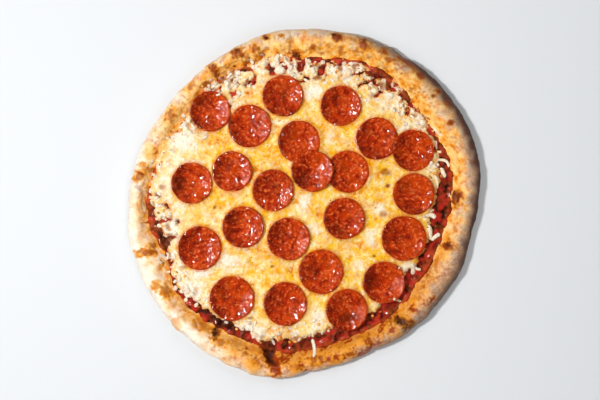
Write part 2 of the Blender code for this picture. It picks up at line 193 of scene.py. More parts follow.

# Where the meat is darkest: partly roasting, partly painted shade where the raised side of a
# cup shades the slice.
SEARED = (
    (-109, 17, 5.5, 9.0, 0, 1), (-64, -13, 7.0, 7.0, 40, 0.8), (57, -67, 6.0, 10.0, 10, 0.9),
    (-4, 21, 6.0, 9.0, -40, 0.9), (-91, 88, 10.0, 6.0, 30, 0.8), (36, -100, 8.0, 5.0, 10, 0.8),
    (28, -23, 8.0, 5.0, -35, 0.7), (7, -58, 6.0, 7.0, 0, 0.5), (-30, 96, 6.0, 9.0, -20, 0.5),
    (-18, 92, 2.5, 9.0, -15, 0.6), (-32, 21, 7.0, 5.0, 30, 0.5), (-26, 12, 6.0, 6.0, 0, 0.35),
    (-60, 60, 6.0, 9.0, -20, 0.4), (-70, 34, 6.0, 6.0, 0, 0.5), (26, 92, 6.0, 7.0, 30, 0.5),
    (52, 64, 6.0, 8.0, 30, 0.5), (84, 52, 6.0, 8.0, 30, 0.45), (-14, 62, 6.0, 8.0, 30, 0.5),
    (86, 14, 6.0, 8.0, 20, 0.45), (77, -24, 6.0, 9.0, 10, 0.35), (-101, -32, 6.0, 8.0, 30, 0.5),
    (-22, -24, 6.0, 8.0, 30, 0.55), (-73, -76, 6.0, 9.0, 20, 0.5), (-27, -82, 6.0, 9.0, 20, 0.5),
    (29, -85, 6.0, 8.0, 30, 0.45), (30, 33, 5.0, 8.0, 20, 0.3),
)

# Creases that pinch the crust.
CREASES = (
    (-30, -132, 12.0, 3.6, 111, 1.2), (-142, 26, 4.5, 0.8, -20, 0.5),
    (-138, -17, 3.5, 0.7, 10, 0.4), (-106, 64, 7.0, 1.0, 18, 0.6), (59, -127, 6.0, 1.2, 100, 0.5),
    (-82, -119, 6.5, 1.2, 70, 0.35), (111, -84, 3.0, 0.8, 60, 0.4), (82, 118, 5.0, 0.9, -35, 0.3),
    (97, -93, 6.0, 1.0, -20, 0.3),
)

# Where the sauce is thick and nearly black. The first three rows are painted shade, where a
# slice, the rim and the fold shade the sauce.
THICKENED = (
    (-75, -98, 16.0, 5.5, -37, 1), (-122, -32, 9.0, 4.5, 105, 1), (-31, -123, 6.0, 5.0, 0, 0.9),
    (2, -123, 6.0, 4.0, 0, 0.6), (-53, 117, 5.0, 3.0, 0, 0.7), (64, 113, 8.0, 3.0, -8, 0.6),
    (89, 92, 6.0, 4.0, -50, 0.7), (122, 22, 9.0, 3.0, 95, 0.6), (117, -40, 6.0, 4.0, 75, 0.5),
    (-131, -4, 6.0, 4.0, 100, 0.8), (96, -76, 5.0, 3.0, 50, 0.4), (-3, 119, 4.0, 3.0, 80, 0.6),
    (-108, -66, 5.0, 3.0, -55, 0.5),
)

# By bearing, how much farther than its solid the cheese runs out, in millimetres.
RUN_OUT = {
    0: -5.5, 8: -7.5, 16: -6.5, 24: -1.0, 30: 1.5, 40: 3.5, 50: 3.5, 58: 1.5, 66: 4.0, 74: 3.0,
    84: 4.5, 92: 2.0, 100: 4.0, 112: 2.0, 130: 3.0, 150: 2.5, 158: 3.8, 167: 4.3, 176: 4.3,
    182: 3.0, 188: 1.0, 204: 0.5, 212: 1.0, 222: 0, 300: 0, 318: -0.5, 330: 0, 342: -1.5, 352: -4.0,
}

# By bearing, how far over the rim the oily gold goes, as a share of the rim's width.
GOLD_REACH = {
    0: 0.82, 35: 0.88, 60: 0.97, 90: 0.95, 120: 0.98, 150: 0.94, 185: 0.76, 225: 0.77, 240: 0.92,
    252: 1.0, 280: 1.05, 305: 0.97, 325: 0.88,
}

# By bearing, how floury the rest of the rim is. The flour is laid thickest on the side toward
# the window and thinnest away from it, which also paints light and shade on the rim.
FLOURED = {0: 0.1, 50: 0.5, 90: 0.8, 120: 0.75, 160: 0.9, 200: 1.0, 240: 0.95, 280: 0.3, 320: 0.1}

# By bearing, how brown the rim is baked, and how dark the painted shade in its hollows is.
BAKED = {
    0: 0.05, 60: 0.2, 90: 0.05, 120: 0.1, 170: 0.3, 200: 0.3, 235: 0.35, 262: 1.5, 285: 1.7,
    310: 1.3, 335: 0.7,
}

# By bearing, how thickly small scorched specks lie on the rim.
SPECKLED = {
    0: 0.3, 40: 0.7, 90: 0.6, 130: 0.65, 150: 0.45, 166: 0.9, 180: 0.4, 200: 0.1, 235: 0.4,
    285: 0.9, 315: 0.6, 340: 0.4,
}

# By bearing, how dark the outside of the rim is: partly browning, partly painted shade on the
# side away from the window.
SMOKED = {0: 1.05, 50: 1.05, 80: 0.4, 110: 0.2, 140: 0.0, 245: 0.0, 275: 0.1, 320: 0.82}

# By bearing, how much orange oil stands on the sauce.
OILED = {0: 0.2, 45: 0.35, 90: 0.2, 135: 0.8, 180: 0.45, 225: 0.05, 270: 0.3, 315: 0.35}

# By bearing, how thickly shreds and curds lie round the cheese's edge.
STREWN = {
    0: 0.5, 30: 0.7, 60: 0.9, 90: 1.0, 130: 1.0, 146: 0.8, 156: 0.55, 172: 0.6, 182: 0.85, 197: 1.0,
    212: 0.6, 260: 0.8, 300: 0.35, 330: 0.2,
}

# Shreds and lumps of cheese that stand out: how wide one is, how browned, and its way over the
# pizza as x and y of each point.
SHREDS = (
    (2.6, 0.0, ((114.7, 37.4), (121.6, 38.3), (126.0, 34.8), (126.0, 30.5))),
    (3.6, 0.0, ((119.0, 31.3), (120.8, 27.0), (123.4, 21.8))),
    (2.0, 0.0, ((111.2, 27.0), (114.7, 23.5), (116.4, 16.5), (115.5, 11.3))),
    (4.2, 0.0, ((105.1, -11.3), (111.2, -9.6), (114.7, -13.9))),
    (4.0, 0.0, ((107.7, -18.3), (109.4, -25.2), (110.3, -33.1))),
    (3.6, 0.0, ((110.3, -33.1), (114.7, -28.7), (119.0, -27.0))),
    (4.0, 0.2, ((93.0, -52.0), (95.5, -57.5), (94.0, -63.0))),
    (2.4, 0.1, ((76.4, -82.7), (81.0, -84.5), (85.1, -86.1))),
    (3.2, 0.0, ((6.8, -117.5), (8.5, -123.5), (9.4, -129.6), (7.7, -134.9))),
    (2.4, 0.3, ((-29.8, -114.8), (-28.0, -119.2), (-25.4, -124.4))),
    (2.6, 0.2, ((-69.8, -103.5), (-66.0, -104.5))),
    (2.4, 0.2, ((-61.1, -106.1), (-55.9, -107.9))),
    (2.4, 0.1, ((-53.2, -101.8), (-47.2, -106.1))),
    (3.0, 0.3, ((-43.5, -114.0), (-40.0, -116.0))),
    (2.6, 0.0, ((-113.3, -56.6), (-108.1, -60.0), (-104.6, -61.8))),
    (3.0, 0.0, ((-110.5, -63.5), (-107.5, -65.5))),
    (4.6, 0.05, ((-103.5, -70.5), (-101.0, -75.5), (-101.5, -80.0))),
    (4.4, 0.0, ((-98.5, -77.0), (-97.0, -82.0))),
    (3.8, 0.0, ((-104.0, -76.5), (-101.0, -83.0))),
    (2.4, 0.0, ((-85.4, -89.6), (-83.7, -87.9))),
    (2.2, 0.1, ((-86.0, 100.0), (-80.0, 97.0), (-77.5, 101.0))),
    (2.2, 0.0, ((-68.0, 107.0), (-64.0, 113.0), (-60.0, 111.5))),
    (2.0, 0.0, ((-76.7, 93.1), (-72.4, 94.8))),
    (5.0, 0.1, ((0.8, 124.4), (2.5, 124.4))),
    (3.6, 0.0, ((-12.4, 114.0), (-8.0, 110.0))),
    (2.2, 0.0, ((92.0, 76.6), (96.4, 73.1))),
    (2.2, 0.0, ((111.2, 67.0), (116.0, 62.0), (119.9, 58.3))),
    (1.8, 0.0, ((114.7, 54.8), (115.5, 46.1))),
    (3.4, 0.3, ((-126.0, -45.0), (-122.0, -47.0), (-119.5, -50.5))),
    (3.0, 0.3, ((-127.0, -50.0), (-123.5, -53.0))),
    (2.6, 0.3, ((-120.0, -43.0), (-117.0, -47.0))),
)


class Slot(Enum):
    """The record's material slots."""

    DOUGH = "baked_dough"
    SAUCE = "tomato_sauce"
    CHEESE = "melted_cheese"
    MEAT = "cured_pepperoni"


class Grain(Enum):
    """The kinds of unevenness that a relief is made of."""

    LUMPS = "lumps"
    BEADS = "beads"


def heading(bearing: float) -> np.ndarray:
    """A bearing's way over the pizza: an x and a y of length 1."""
    return np.array((math.cos(math.radians(bearing)), math.sin(math.radians(bearing))))


def ring(bearings: np.ndarray, radius: np.ndarray | float) -> np.ndarray:
    """A point at each bearing and radius, one a row, at no height."""
    turns = np.radians(bearings)
    return np.column_stack((radius * np.cos(turns), radius * np.sin(turns), 0 * turns))


def bearings_of(points: np.ndarray) -> np.ndarray:
    """The bearing of each point, seen from the pizza's middle."""
    return np.degrees(np.arctan2(points[:, 1], points[:, 0]))


def by_bearing(stations: dict, points: np.ndarray) -> np.ndarray:
    """A value for each point, which changes evenly between those that bearings have."""
    return np.interp(bearings_of(points), list(stations), list(stations.values()), period=360)


def ease(value: np.ndarray, start: float, end: float) -> np.ndarray:
    """Goes smoothly from 0 at start to 1 at end, where start may be the larger."""
    share = np.clip((value - start) / (end - start), 0.0, 1.0)
    return share * share * (3.0 - 2.0 * share)


def scrambled(cells: np.ndarray) -> np.ndarray:
    """A whole number from 0 to 255 for each cell of a lattice, the same each run."""
    columns = SCRAMBLE[cells[:, 0] & 255] + cells[:, 1]
    return SCRAMBLE[(SCRAMBLE[columns & 255] + cells[:, 2]) & 255]


def uneven(points: np.ndarray, size: float, layer: int, grain: Grain = Grain.LUMPS) -> np.ndarray:
    """An unevenness between about -1 and 1 at each point.

    Args:
        points: places, one a row.
        size: about how wide a lump is.
        layer: which of many like patterns it is.
        grain: lumps are smooth and beads are round and close together.

    Returns:
        One value for each point.
    """
    places = points / size + LAYER_STEP * layer
    cells = np.floor(places).astype(int)
    within = places - cells
    if grain is Grain.BEADS:
        nearest = np.full(len(points), np.inf)
        for step in itertools.product((-1, 0, 1), repeat=3):
            seeds = SEEDS[scrambled(cells + step)] + step
            nearest = np.minimum(nearest, np.linalg.norm(within - seeds, axis=1))
        return 1.0 - BEAD_SWING * nearest
    fade = within**3 * (within * (6.0 * within - 15.0) + 10.0)
    total = np.zeros(len(points))
    for corner in itertools.product((0, 1), repeat=3):
        slopes = ((within - corner) * SLOPES[scrambled(cells + corner)]).sum(axis=1)
        total += slopes * np.prod(np.where(corner, fade, 1.0 - fade), axis=1)
    return LUMP_SWING * total


@dataclass(frozen=True)
class Relief:
    """An unevenness that stands out of a surface: how high, how wide, and which pattern it is."""

    height: float
    size: float
    layer: int
    grain: Grain = Grain.LUMPS

    def at(self, points: np.ndarray, shift: int = 0) -> np.ndarray:
        """How far it stands out at each point. Each shift gives another pattern."""
        return self.height * uneven(points, self.size, self.layer + shift, self.grain)


@dataclass(frozen=True)
class Mark:
    """A patch on a surface, seen from above: its middle, half its length and half its width, the
    bearing of its length, and its strength."""

    x: float
    y: float
    length: float
    width: float
    bearing: float
    strength: float

    def distance(self, points: np.ndarray) -> np.ndarray:
        """How far points are from the patch's middle: 1 is its edge.

        Args:
            points: places, one a row, of which x and y are read.

        Returns:
            One distance for each point.
        """
        away = points[:, :2] - (self.x, self.y)
        cosine, sine = heading(self.bearing)
        return np.hypot(away @ (cosine, sine) / self.length, away @ (-sine, cosine) / self.width)


def cover(points: np.ndarray, rows: tuple, ragged: np.ndarray, soft: float = 0.35) -> np.ndarray:
    """How strongly patches cover each point.

    Args:
        points: places, one a row.
        rows: the list of patches.
        ragged: an unevenness for each point, which frays the patches' edges.
        soft: how soft the edges are.

    Returns:
        A share from 0 to about 1 for each point.
    """
    covered = np.zeros(len(points))
    for mark in itertools.starmap(Mark, rows):
        share = ease(mark.distance(points) + ragged, 1.0 + soft, 1.0 - soft)
        covered = np.maximum(covered, mark.strength * share)
    return covered


def slice_places() -> dict[str, tuple[np.ndarray, float]]:
    """The pepperoni slices in the frame.

    Returns:
        For each slice's node, the place of its middle and its radius.
    """
    slices = {}
    for name in sorted(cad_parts):
        if name.startswith("pepperoni"):
            low, high = (np.array(corner[:2]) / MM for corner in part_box(name))
            slices[name] = ((low + high) / 2, (high - low).mean() / 2)
    return slices


SLICES = slice_places()


def past_slices(points: np.ndarray) -> np.ndarray:
    """How far each point is outside the edge of the nearest slice of pepperoni.

    Args:
        points: places, one a row, of which x and y are read.

    Returns:
        One distance for each point, which is negative within a slice.
    """
    nearest = np.full(len(points), np.inf)
    for middle, reach in SLICES.values():
        nearest = np.minimum(nearest, np.hypot(*(points[:, :2] - middle).T) - reach)
    return nearest


def linear_colour(hex_colour: str) -> tuple[float, float, float, float]:
    """An sRGB hex colour as linear light.

    Args:
        hex_colour: a # and six hex digits.

    Returns:
        Red, green and blue as linear light, and an alpha of 1.
    """
    channels = [int(hex_colour[i : i + 2], 16) / 255 for i in (1, 3, 5)]
    light = [c / 12.92 if c <= 0.04045 else ((c + 0.055) / 1.055) ** 2.4 for c in channels]
    return (*light, 1.0)


def scale_of(size: float) -> float:
    """The scale of a texture whose lumps are about as wide as a size in millimetres."""
    return 1 / (size * MM)


def add_node(
    tree: bpy.types.NodeTree,
    kind: str,
    inputs: dict | None = None,
    out: str | int = 0,
    stops: tuple = (),
    **settings,
) -> bpy.types.NodeSocket:
    """Adds one node with its settings and links.

    Args:
        tree: the material's or the world's nodes.
        kind: the node's type, without its ShaderNode prefix.
        inputs: for a socket's name or number, a socket to link or a value, or a hex colour.
        out: the name or number of the output to return.
        stops: a colour ramp's positions and hex colours.
        settings: the node's own properties.

    Returns:
        The output socket, or the node itself where it has none.
    """
    node = tree.nodes.new("ShaderNode" + kind)
    for name, value in settings.items():
        setattr(node, name, value)
    for name, value in (inputs or {}).items():
        socket = node.inputs[name]
        if isinstance(value, bpy.types.NodeSocket):
            tree.links.new(value, socket)
        else:
            socket.default_value = linear_colour(value) if isinstance(value, str) else value
    for number, (position, colour) in enumerate(stops):
        elements = node.color_ramp.elements
        element = elements[number] if number < 2 else elements.new(position)
        element.position = position
        element.color = linear_colour(colour)
    return node.outputs[out] if node.outputs else node


class Finish:
    """How a surface looks. Each finish gives its own inputs for one shader."""

    name: str

    def material(self) -> bpy.types.Material:
        """Makes the material.

        Returns:
            A material with this finish.
        """
        material = bpy.data.materials.new(self.name)
        material.use_nodes = True
        tree = material.node_tree
        tree.nodes.clear()
        place = add_node(tree, "TexCoord", out="Object")
        shader = add_node(tree, "BsdfPrincipled", self.surface(tree, place))
        add_node(tree, "OutputMaterial", {"Surface": shader})
        return material

    def surface(self, tree: bpy.types.NodeTree, place: bpy.types.NodeSocket) -> dict:
        """The shader's inputs.

        Args:
            tree: the material's nodes.
            place: where on the piece each point is.

        Returns:
            A value or a socket for each input that isn't left as it comes.
        """
        raise NotImplementedError

    def coated(
        self, tree: bpy.types.NodeTree, colour: bpy.types.NodeSocket, coats: dict
    ) -> bpy.types.NodeSocket:
        """A colour with other colours laid over it, each as thickly as a share of the piece says.

        Args:
            tree: the material's nodes.
            colour: the colour underneath.
            coats: for the name of a share, the colour that it lays on.

        Returns:
            The colour that shows.
        """
        for share, coat in coats.items():
            amount = add_node(tree, "Attribute", attribute_name=share, out="Fac")
            colour = add_node(tree, "Mix", {0: amount, 6: colour, 7: coat}, 2, data_type="RGBA")
        return colour


@dataclass(frozen=True)
class BakedDough(Finish):
    """Wheat dough, hand stretched and stone baked."""

    # Baking in oil leaves the inner side a mottled gold with a soft sheen. The outside stays dry,
    # so it is pale, dull and floury, and where the oven touched it, it goes from tan to black. The
    # outside's grey brown is partly browning and partly painted shade, darkest on the side away
    # from the window, and the hollows of the relief are painted darker as painted shade. The specks
    # of flour are drawn 1.6 mm wide, where real ones are a tenth of that, so that they show.
    name: str = "baked_wheat_dough"
    pale_gold: str = "#FFD07E"
    gold: str = "#F29E2A"
    deep_gold: str = "#C25C08"
    baked_brown: str = "#9E3A02"
    crumb: str = "#D09262"
    flour: str = "#FAECD8"
    bran: str = "#583C30"
    stain: str = "#9C3404"
    toast: str = "#842C04"
    char: str = "#2A1408"
    patch_size: float = 6.5
    speckle_size: float = 1.6
    speckle_depth: float = 0.08
    dry_roughness: float = 0.8
    oiled_roughness: float = 0.45

    def surface(self, tree: bpy.types.NodeTree, place: bpy.types.NodeSocket) -> dict:
        """The dough: dry, or under gold, brown and painted shade, stain, toast and char as shares
        say.

        Args:
            tree: the material's nodes.
            place: where on the piece each point is.

        Returns:
            The shader's inputs.
        """
        mottling = {"Vector": place, "Scale": scale_of(self.patch_size)}
        patches = add_node(tree, "TexNoise", {**mottling, "Detail": 3.0, "Roughness": 0.6})
        speckling = {"Vector": place, "Scale": scale_of(self.speckle_size)}
        speckle = add_node(tree, "TexNoise", speckling)
        dries = ((0.3, self.crumb), (0.7, self.flour))
        dry = add_node(tree, "ValToRGB", {"Fac": speckle}, stops=dries)
        dry = self.coated(tree, dry, {"flour": self.flour})
        golds = ((0.42, self.pale_gold), (0.76, self.deep_gold), (0.58, self.gold))
        oiled = add_node(tree, "ValToRGB", {"Fac": patches}, stops=golds)
        # The deep coat is brown baking, with painted shade in the hollows of the relief.
        oiled = self.coated(tree, oiled, {"amber": self.gold, "deep": self.baked_brown})
        coats = {"gold": oiled, "bran": self.bran, "stain": self.stain}
        coats.update(toast=self.toast, char=self.char)
        oily = add_node(tree, "Attribute", attribute_name="gold", out="Fac")
        ends = {"Value": oily, "To Min": self.dry_roughness, "To Max": self.oiled_roughness}
        bumps = {"Height": speckle, "Distance": self.speckle_depth * MM}
        return {
            "Base Color": self.coated(tree, dry, coats),
            "Roughness": add_node(tree, "MapRange", ends),
            "IOR": 1.45,
            "Specular IOR Level": 0.22,
            "Normal": add_node(tree, "Bump", bumps),
        }


@dataclass(frozen=True)
class TomatoSauce(Finish):
    """Cooked tomato sauce, spread with a ladle."""

    # Cooking down leaves a dark, pulpy red, nearly black where it is thick and orange where oil
    # stands on it. The same near black is also painted where the sauce lies in shade, as painted
    # shade. It is wet, so a thin clear coat gives it small sharp lights.
    name: str = "cooked_tomato_sauce"
    thick: str = "#1E0400"
    thin: str = "#A02018"
    oil: str = "#D0602A"
    glaze: str = "#F09A78"
    pulp_size: float = 6.0
    roughness: float = 0.4

    def surface(self, tree: bpy.types.NodeTree, place: bpy.types.NodeSocket) -> dict:
        """The sauce, with its near black, painted shade and oil laid on as its shares say.

        Args:
            tree: the material's nodes.
            place: where on the piece each point is.

        Returns:
            The shader's inputs.
        """
        pulp = add_node(tree, "TexNoise", {"Vector": place, "Scale": scale_of(self.pulp_size)})
        reds = ((0.4, self.thick), (0.6, self.thin))
        colour = add_node(tree, "ValToRGB", {"Fac": pulp}, stops=reds)
        return {
            "Base Color": self.coated(tree, colour, {"thick": self.thick, "oil": self.oil}),
            "Roughness": self.roughness,
            "IOR": 1.37,
            "Specular Tint": self.glaze,
            "Coat Weight": 0.28,
            "Coat Roughness": 0.12,
        }


@dataclass(frozen=True)
class MeltedCheese(Finish):
    """Grated mozzarella, melted and set."""

    # Melting leaves a creamy, beaded skin with a soft sheen: whiter where curds stand up, yellow to
    # amber where oil lies in the hollows, and browned in spots. Its lights are warm, because they
    # pass through that oil. The flecks are drawn 1.7 mm wide, coarser than real ones, so that they
    # show.
    name: str = "melted_mozzarella"
    cream: str = "#ECB622"
    milk: str = "#F0DCA0"
    whey: str = "#ECE4D2"
    oil: str = "#E89808"
    deep_oil: str = "#CC6C04"
    stain: str = "#DA6E14"
    brown: str = "#8A3C0E"
    glaze: str = "#FFDC96"
    fleck: str = "#C4921C"
    curd_size: float = 6.5
    curd_depth: float = 0.25
    cloud_size: float = 7.0
    fleck_size: float = 1.7
    roughness: float = 0.38

    def surface(self, tree: bpy.types.NodeTree, place: bpy.types.NodeSocket) -> dict:
        """The cheese, white, oily, stained and browned as its shares say.

        Args:
            tree: the material's nodes.
            place: where on the piece each point is.

        Returns:
            The shader's inputs.
        """
        curdling = {"Vector": place, "Scale": scale_of(self.curd_size)}
        curds = add_node(tree, "TexNoise", {**curdling, "Detail": 4.0, "Roughness": 0.8})
        creams = ((0.45, self.cream), (0.6, self.milk))
        cream = add_node(tree, "ValToRGB", {"Fac": curds}, stops=creams)
        clouds = add_node(tree, "TexNoise", {"Vector": place, "Scale": scale_of(self.cloud_size)})
        oils = ((0.4, self.oil), (0.68, self.deep_oil))
        oil = add_node(tree, "ValToRGB", {"Fac": clouds}, stops=oils)
        coats = {"white": self.whey, "oil": oil, "stain": self.stain, "brown": self.brown}
        colour = self.coated(tree, cream, coats)
        grain = add_node(tree, "TexNoise", {"Vector": place, "Scale": scale_of(self.fleck_size)})
        ends = {"Value": grain, "From Min": 0.54, "From Max": 0.78, "To Max": 0.7}
        flecks = add_node(tree, "MapRange", ends)
        flecked = {0: flecks, 6: colour, 7: self.fleck}
        bumps = {"Height": curds, "Distance": self.curd_depth * MM}
        return {
            "Base Color": add_node(tree, "Mix", flecked, 2, data_type="RGBA"),
            "Roughness": self.roughness,
            "IOR": 1.38,
            "Specular Tint": self.glaze,
            "Normal": add_node(tree, "Bump", bumps),
        }


@dataclass(frozen=True)
class CuredPepperoni(Finish):
    """Cured pork sausage, sliced thin and roasted."""

    # Grinding leaves a brick red mottled with paler fat, and roasting darkens it to nearly black at
    # the edge and in patches. Some dark patches, and a darker side on each slice, are painted shade
    # of the cups, and the paprika is laid thicker on the other side as painted light. A film of its
    # own oil wrinkles as it cools, which breaks the window's light into sparks. The grains of fat
    # and the wrinkles are drawn 2 to 3 mm wide, coarser than real ones, so that they show.
    name: str = "cured_pork_sausage"
    deep: str = "#741200"
    lean: str = "#B22A00"
    paprika: str = "#C84400"
    fat: str = "#E06C34"
    seared: str = "#380600"
    glaze: str = "#FFB090"
    mince_size: float = 4.5
    fat_size: float = 2.3
    fat_depth: float = 0.08
    wrinkle_size: float = 3.4
    wrinkle_depth: float = 0.8
    roughness: float = 0.35

    def surface(self, tree: bpy.types.NodeTree, place: bpy.types.NodeSocket) -> dict:
        """The meat: paprika, roasting, painted light and painted shade, as its shares say.

        Args:
            tree: the material's nodes.
            place: where on the piece each point is.

        Returns:
            The shader's inputs.
        """
        mincing = {"Vector": place, "Scale": scale_of(self.mince_size)}
        mince = add_node(tree, "TexNoise", {**mincing, "Detail": 4.0, "Roughness": 0.75})
        graining = {"Vector": place, "Scale": scale_of(self.fat_size)}
        grains = add_node(tree, "TexNoise", {**graining, "Detail": 1.0})
        wrinkling = {"Vector": place, "Scale": scale_of(self.wrinkle_size)}
        wrinkles = add_node(tree, "TexNoise", {**wrinkling, "Detail": 0.0})
        reds = ((0.4, self.deep), (0.58, self.lean))
        lean = add_node(tree, "ValToRGB", {"Fac": mince}, stops=reds)
        lean = self.coated(tree, lean, {"cured": self.paprika})
        fatty = add_node(tree, "MapRange", {"Value": grains, "From Min": 0.52, "From Max": 0.8})
        colour = add_node(tree, "Mix", {0: fatty, 6: lean, 7: self.fat}, 2, data_type="RGBA")
        creases = {"Height": wrinkles, "Distance": self.wrinkle_depth * MM}
        bumps = {"Height": grains, "Distance": self.fat_depth * MM}
        return {
            "Base Color": self.coated(tree, colour, {"seared": self.seared}),
            "Roughness": self.roughness,
            "IOR": 1.36,
            "Specular IOR Level": 0.25,
            "Specular Tint": self.glaze,
            "Coat Weight": 0.6,
            "Coat Roughness": 0.09,
            "Coat IOR": 1.42,
            "Coat Normal": add_node(tree, "Bump", creases),
            "Normal": add_node(tree, "Bump", bumps),
        }


@dataclass(frozen=True)
class PaintedBoard(Finish):
    """The floor's board, painted matt."""

    # Matt paint takes the pizza's shadow softly and mirrors nothing.
    name: str = "matt_painted_board"
    paint: str = "#D8DADC"
    roughness: float = 0.8

    def surface(self, tree: bpy.types.NodeTree, place: bpy.types.NodeSocket) -> dict:
        """Plain paint."""
        return {"Base Color": self.paint, "Roughness": self.roughness}


def settled(shape: bmesh.types.BMesh, mesh: bpy.types.Mesh | str) -> bpy.types.Mesh:
    """Puts a shape into a mesh, and frees the shape.

    Args:
        shape: the shape.
        mesh: the mesh, or a name for a new one.

    Returns:
        The mesh.
    """
    mesh = bpy.data.meshes.new(mesh) if isinstance(mesh, str) else mesh
    shape.to_mesh(mesh)
    shape.free()
    return mesh


def merged_quads(node: str) -> bpy.types.Mesh:
    """A copy of a CAD node's mesh, merged and with its pairs of triangles made quads.

    Args:
        node: the node's name.

    Returns:
        The copy.
    """
    shape = bmesh.new()
    shape.from_mesh(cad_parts[node].data)
    bmesh.ops.remove_doubles(shape, verts=shape.verts, dist=1e-6)
    bmesh.ops.join_triangles(
        shape, faces=shape.faces, angle_face_threshold=math.pi, angle_shape_threshold=math.pi
    )
    return settled(shape, node + "_form")


def subdivided(mesh: bpy.types.Mesh, levels: int) -> bpy.types.Mesh:
    """A smoother mesh.

    Args:
        mesh: the mesh to smooth.
        levels: how many times each face is split in four.

    Returns:
        A new mesh.
    """
    cage = bpy.data.objects.new("cage", mesh)
    bpy.context.scene.collection.objects.link(cage)
    smooth = cage.modifiers.new("smooth", "SUBSURF")
    smooth.levels = levels
    smooth.render_levels = levels
    depsgraph = bpy.context.evaluated_depsgraph_get()
    result = bpy.data.meshes.new_from_object(cage.evaluated_get(depsgraph))
    bpy.data.objects.remove(cage)
    return result


def rows_of(items: bpy.types.bpy_prop_collection, value: str) -> np.ndarray:
    """A value of three numbers that each item of a mesh has, one item a row."""
    flat = np.empty(3 * len(items), np.float32)
    items.foreach_get(value, flat)
    return flat.reshape(-1, 3).astype(float)


def places_of(mesh: bpy.types.Mesh) -> np.ndarray:
    """A mesh's points in millimetres, one a row."""
    return rows_of(mesh.vertices, "co") / MM


def outward(mesh: bpy.types.Mesh) -> np.ndarray:
    """A mesh's normals at its points, one a row."""
    return rows_of(mesh.vertex_normals, "vector")


def move_points(mesh: bpy.types.Mesh, points: np.ndarray) -> None:
    """Moves a mesh's points to places in millimetres."""
    mesh.vertices.foreach_set("co", (points * MM).astype(np.float32).ravel())
    mesh.update()


def raise_skin(mesh: bpy.types.Mesh, heights: np.ndarray) -> None:
    """Moves each point of a mesh out along its normal, by a height in millimetres."""
    move_points(mesh, places_of(mesh) + outward(mesh) * heights[:, None])


def set_shares(mesh: bpy.types.Mesh, **shares: np.ndarray) -> None:
    """Gives each point of a mesh shares from 0 to 1, which its material reads by their names."""
    for name, values in shares.items():
        layer = mesh.attributes.new(name, "FLOAT", "POINT")
        layer.data.foreach_set("value", np.clip(values, 0.0, 1.0).astype(np.float32))


def put_out(
    name: str, mesh: bpy.types.Mesh, material: bpy.types.Material, node: str = ""
) -> bpy.types.Object:
    """Makes a mesh a piece of the pizza.

    Args:
        name: the piece's name.
        mesh: its mesh.
        material: its material.
        node: the CAD node that it replaces, if any.

    Returns:
        The piece.
    """
    mesh.name = name
    mesh.materials.clear()
    mesh.materials.append(material)
    mesh.shade_smooth()
    piece = bpy.data.objects.new(name, mesh)
    bpy.context.scene.collection.objects.link(piece)
    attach(piece, BODY)
    if node:
        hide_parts(node)
    log.info("%s: %d points, %d faces", name, len(mesh.vertices), len(mesh.polygons))
    return piece


class Ground:
    """Surfaces in millimetres, for measuring and for laying things on."""

    SKY = 100.0
    FAR = 300.0

    def __init__(self, *meshes: bpy.types.Mesh) -> None:
        """Reads the meshes' faces."""
        self.trees = []
        for mesh in meshes:
            faces = [face.vertices[:] for face in mesh.polygons]
            self.trees.append(BVHTree.FromPolygons([Vector(p) for p in places_of(mesh)], faces))

    def top(self, x: float, y: float) -> float:
        """The height of the highest surface at a place, or 0 where there is none."""
        hits = [tree.ray_cast(Vector((x, y, self.SKY)), -UP)[0] for tree in self.trees]
        return max((hit.z for hit in hits if hit is not None), default=0.0)

    def outside(self, bearing: float, height: float) -> float:
        """The radius of the outermost surface at a bearing and a height, or 0 for none."""
        way = Vector((*heading(bearing), 0.0))
        hit = self.trees[0].ray_cast(way * self.FAR + UP * height, -way)[0]
        return 0.0 if hit is None else hit.to_2d().length

    def section(
        self, bearing: float, radius: float, height: float, angles: np.ndarray
    ) -> np.ndarray:
        """The cut of the surface at a bearing, seen from a point inside it.

        Args:
            bearing: the bearing of the cut.
            radius: the inside point's radius.
            height: the inside point's height.
            angles: the rays' angles, in radians, with 0 out and a quarter turn up.

        Returns:
            A radius and a height for each ray.
        """
        way = Vector((*heading(bearing), 0.0))
        start = way * radius + UP * height
        rays = [way * math.cos(angle) + UP * math.sin(angle) for angle in angles]
        hits = [self.trees[0].ray_cast(start, ray)[0] for ray in rays]
        return np.array([(hit.dot(way), hit.z) for hit in hits])


def even_steps(line: np.ndarray, count: int) -> np.ndarray:
    """The points that divide a line in even steps.

    Args:
        line: the line's own points, one a row.
        count: how many points to put on it, from end to end.

    Returns:
        The points, one a row.
    """
    lengths = np.concatenate(([0.0], np.cumsum(np.linalg.norm(np.diff(line, axis=0), axis=1))))
    marks = np.linspace(0.0, lengths[-1], count)
    return np.column_stack([np.interp(marks, lengths, column) for column in line.T])


def smoothed(grid: np.ndarray, reach: int, axis: int, wrap: bool) -> np.ndarray:
    """A grid whose values are averaged with their neighbours along one axis.

    Args:
        grid: the values.
        reach: how many neighbours on each side count.
        axis: the axis to go along.
        wrap: whether its last value is next to its first.

    Returns:
        A grid of the same size.
    """
    window = np.hanning(2 * reach + 3)[1:-1]
    window /= window.sum()
    pads = [(0, 0)] * grid.ndim
    pads[axis] = (reach, reach)
    padded = np.pad(grid, pads, mode="wrap" if wrap else "edge")
    size = grid.shape[axis]
    parts = [np.take(padded, range(i, i + size), axis=axis) * w for i, w in enumerate(window)]
    return sum(parts)


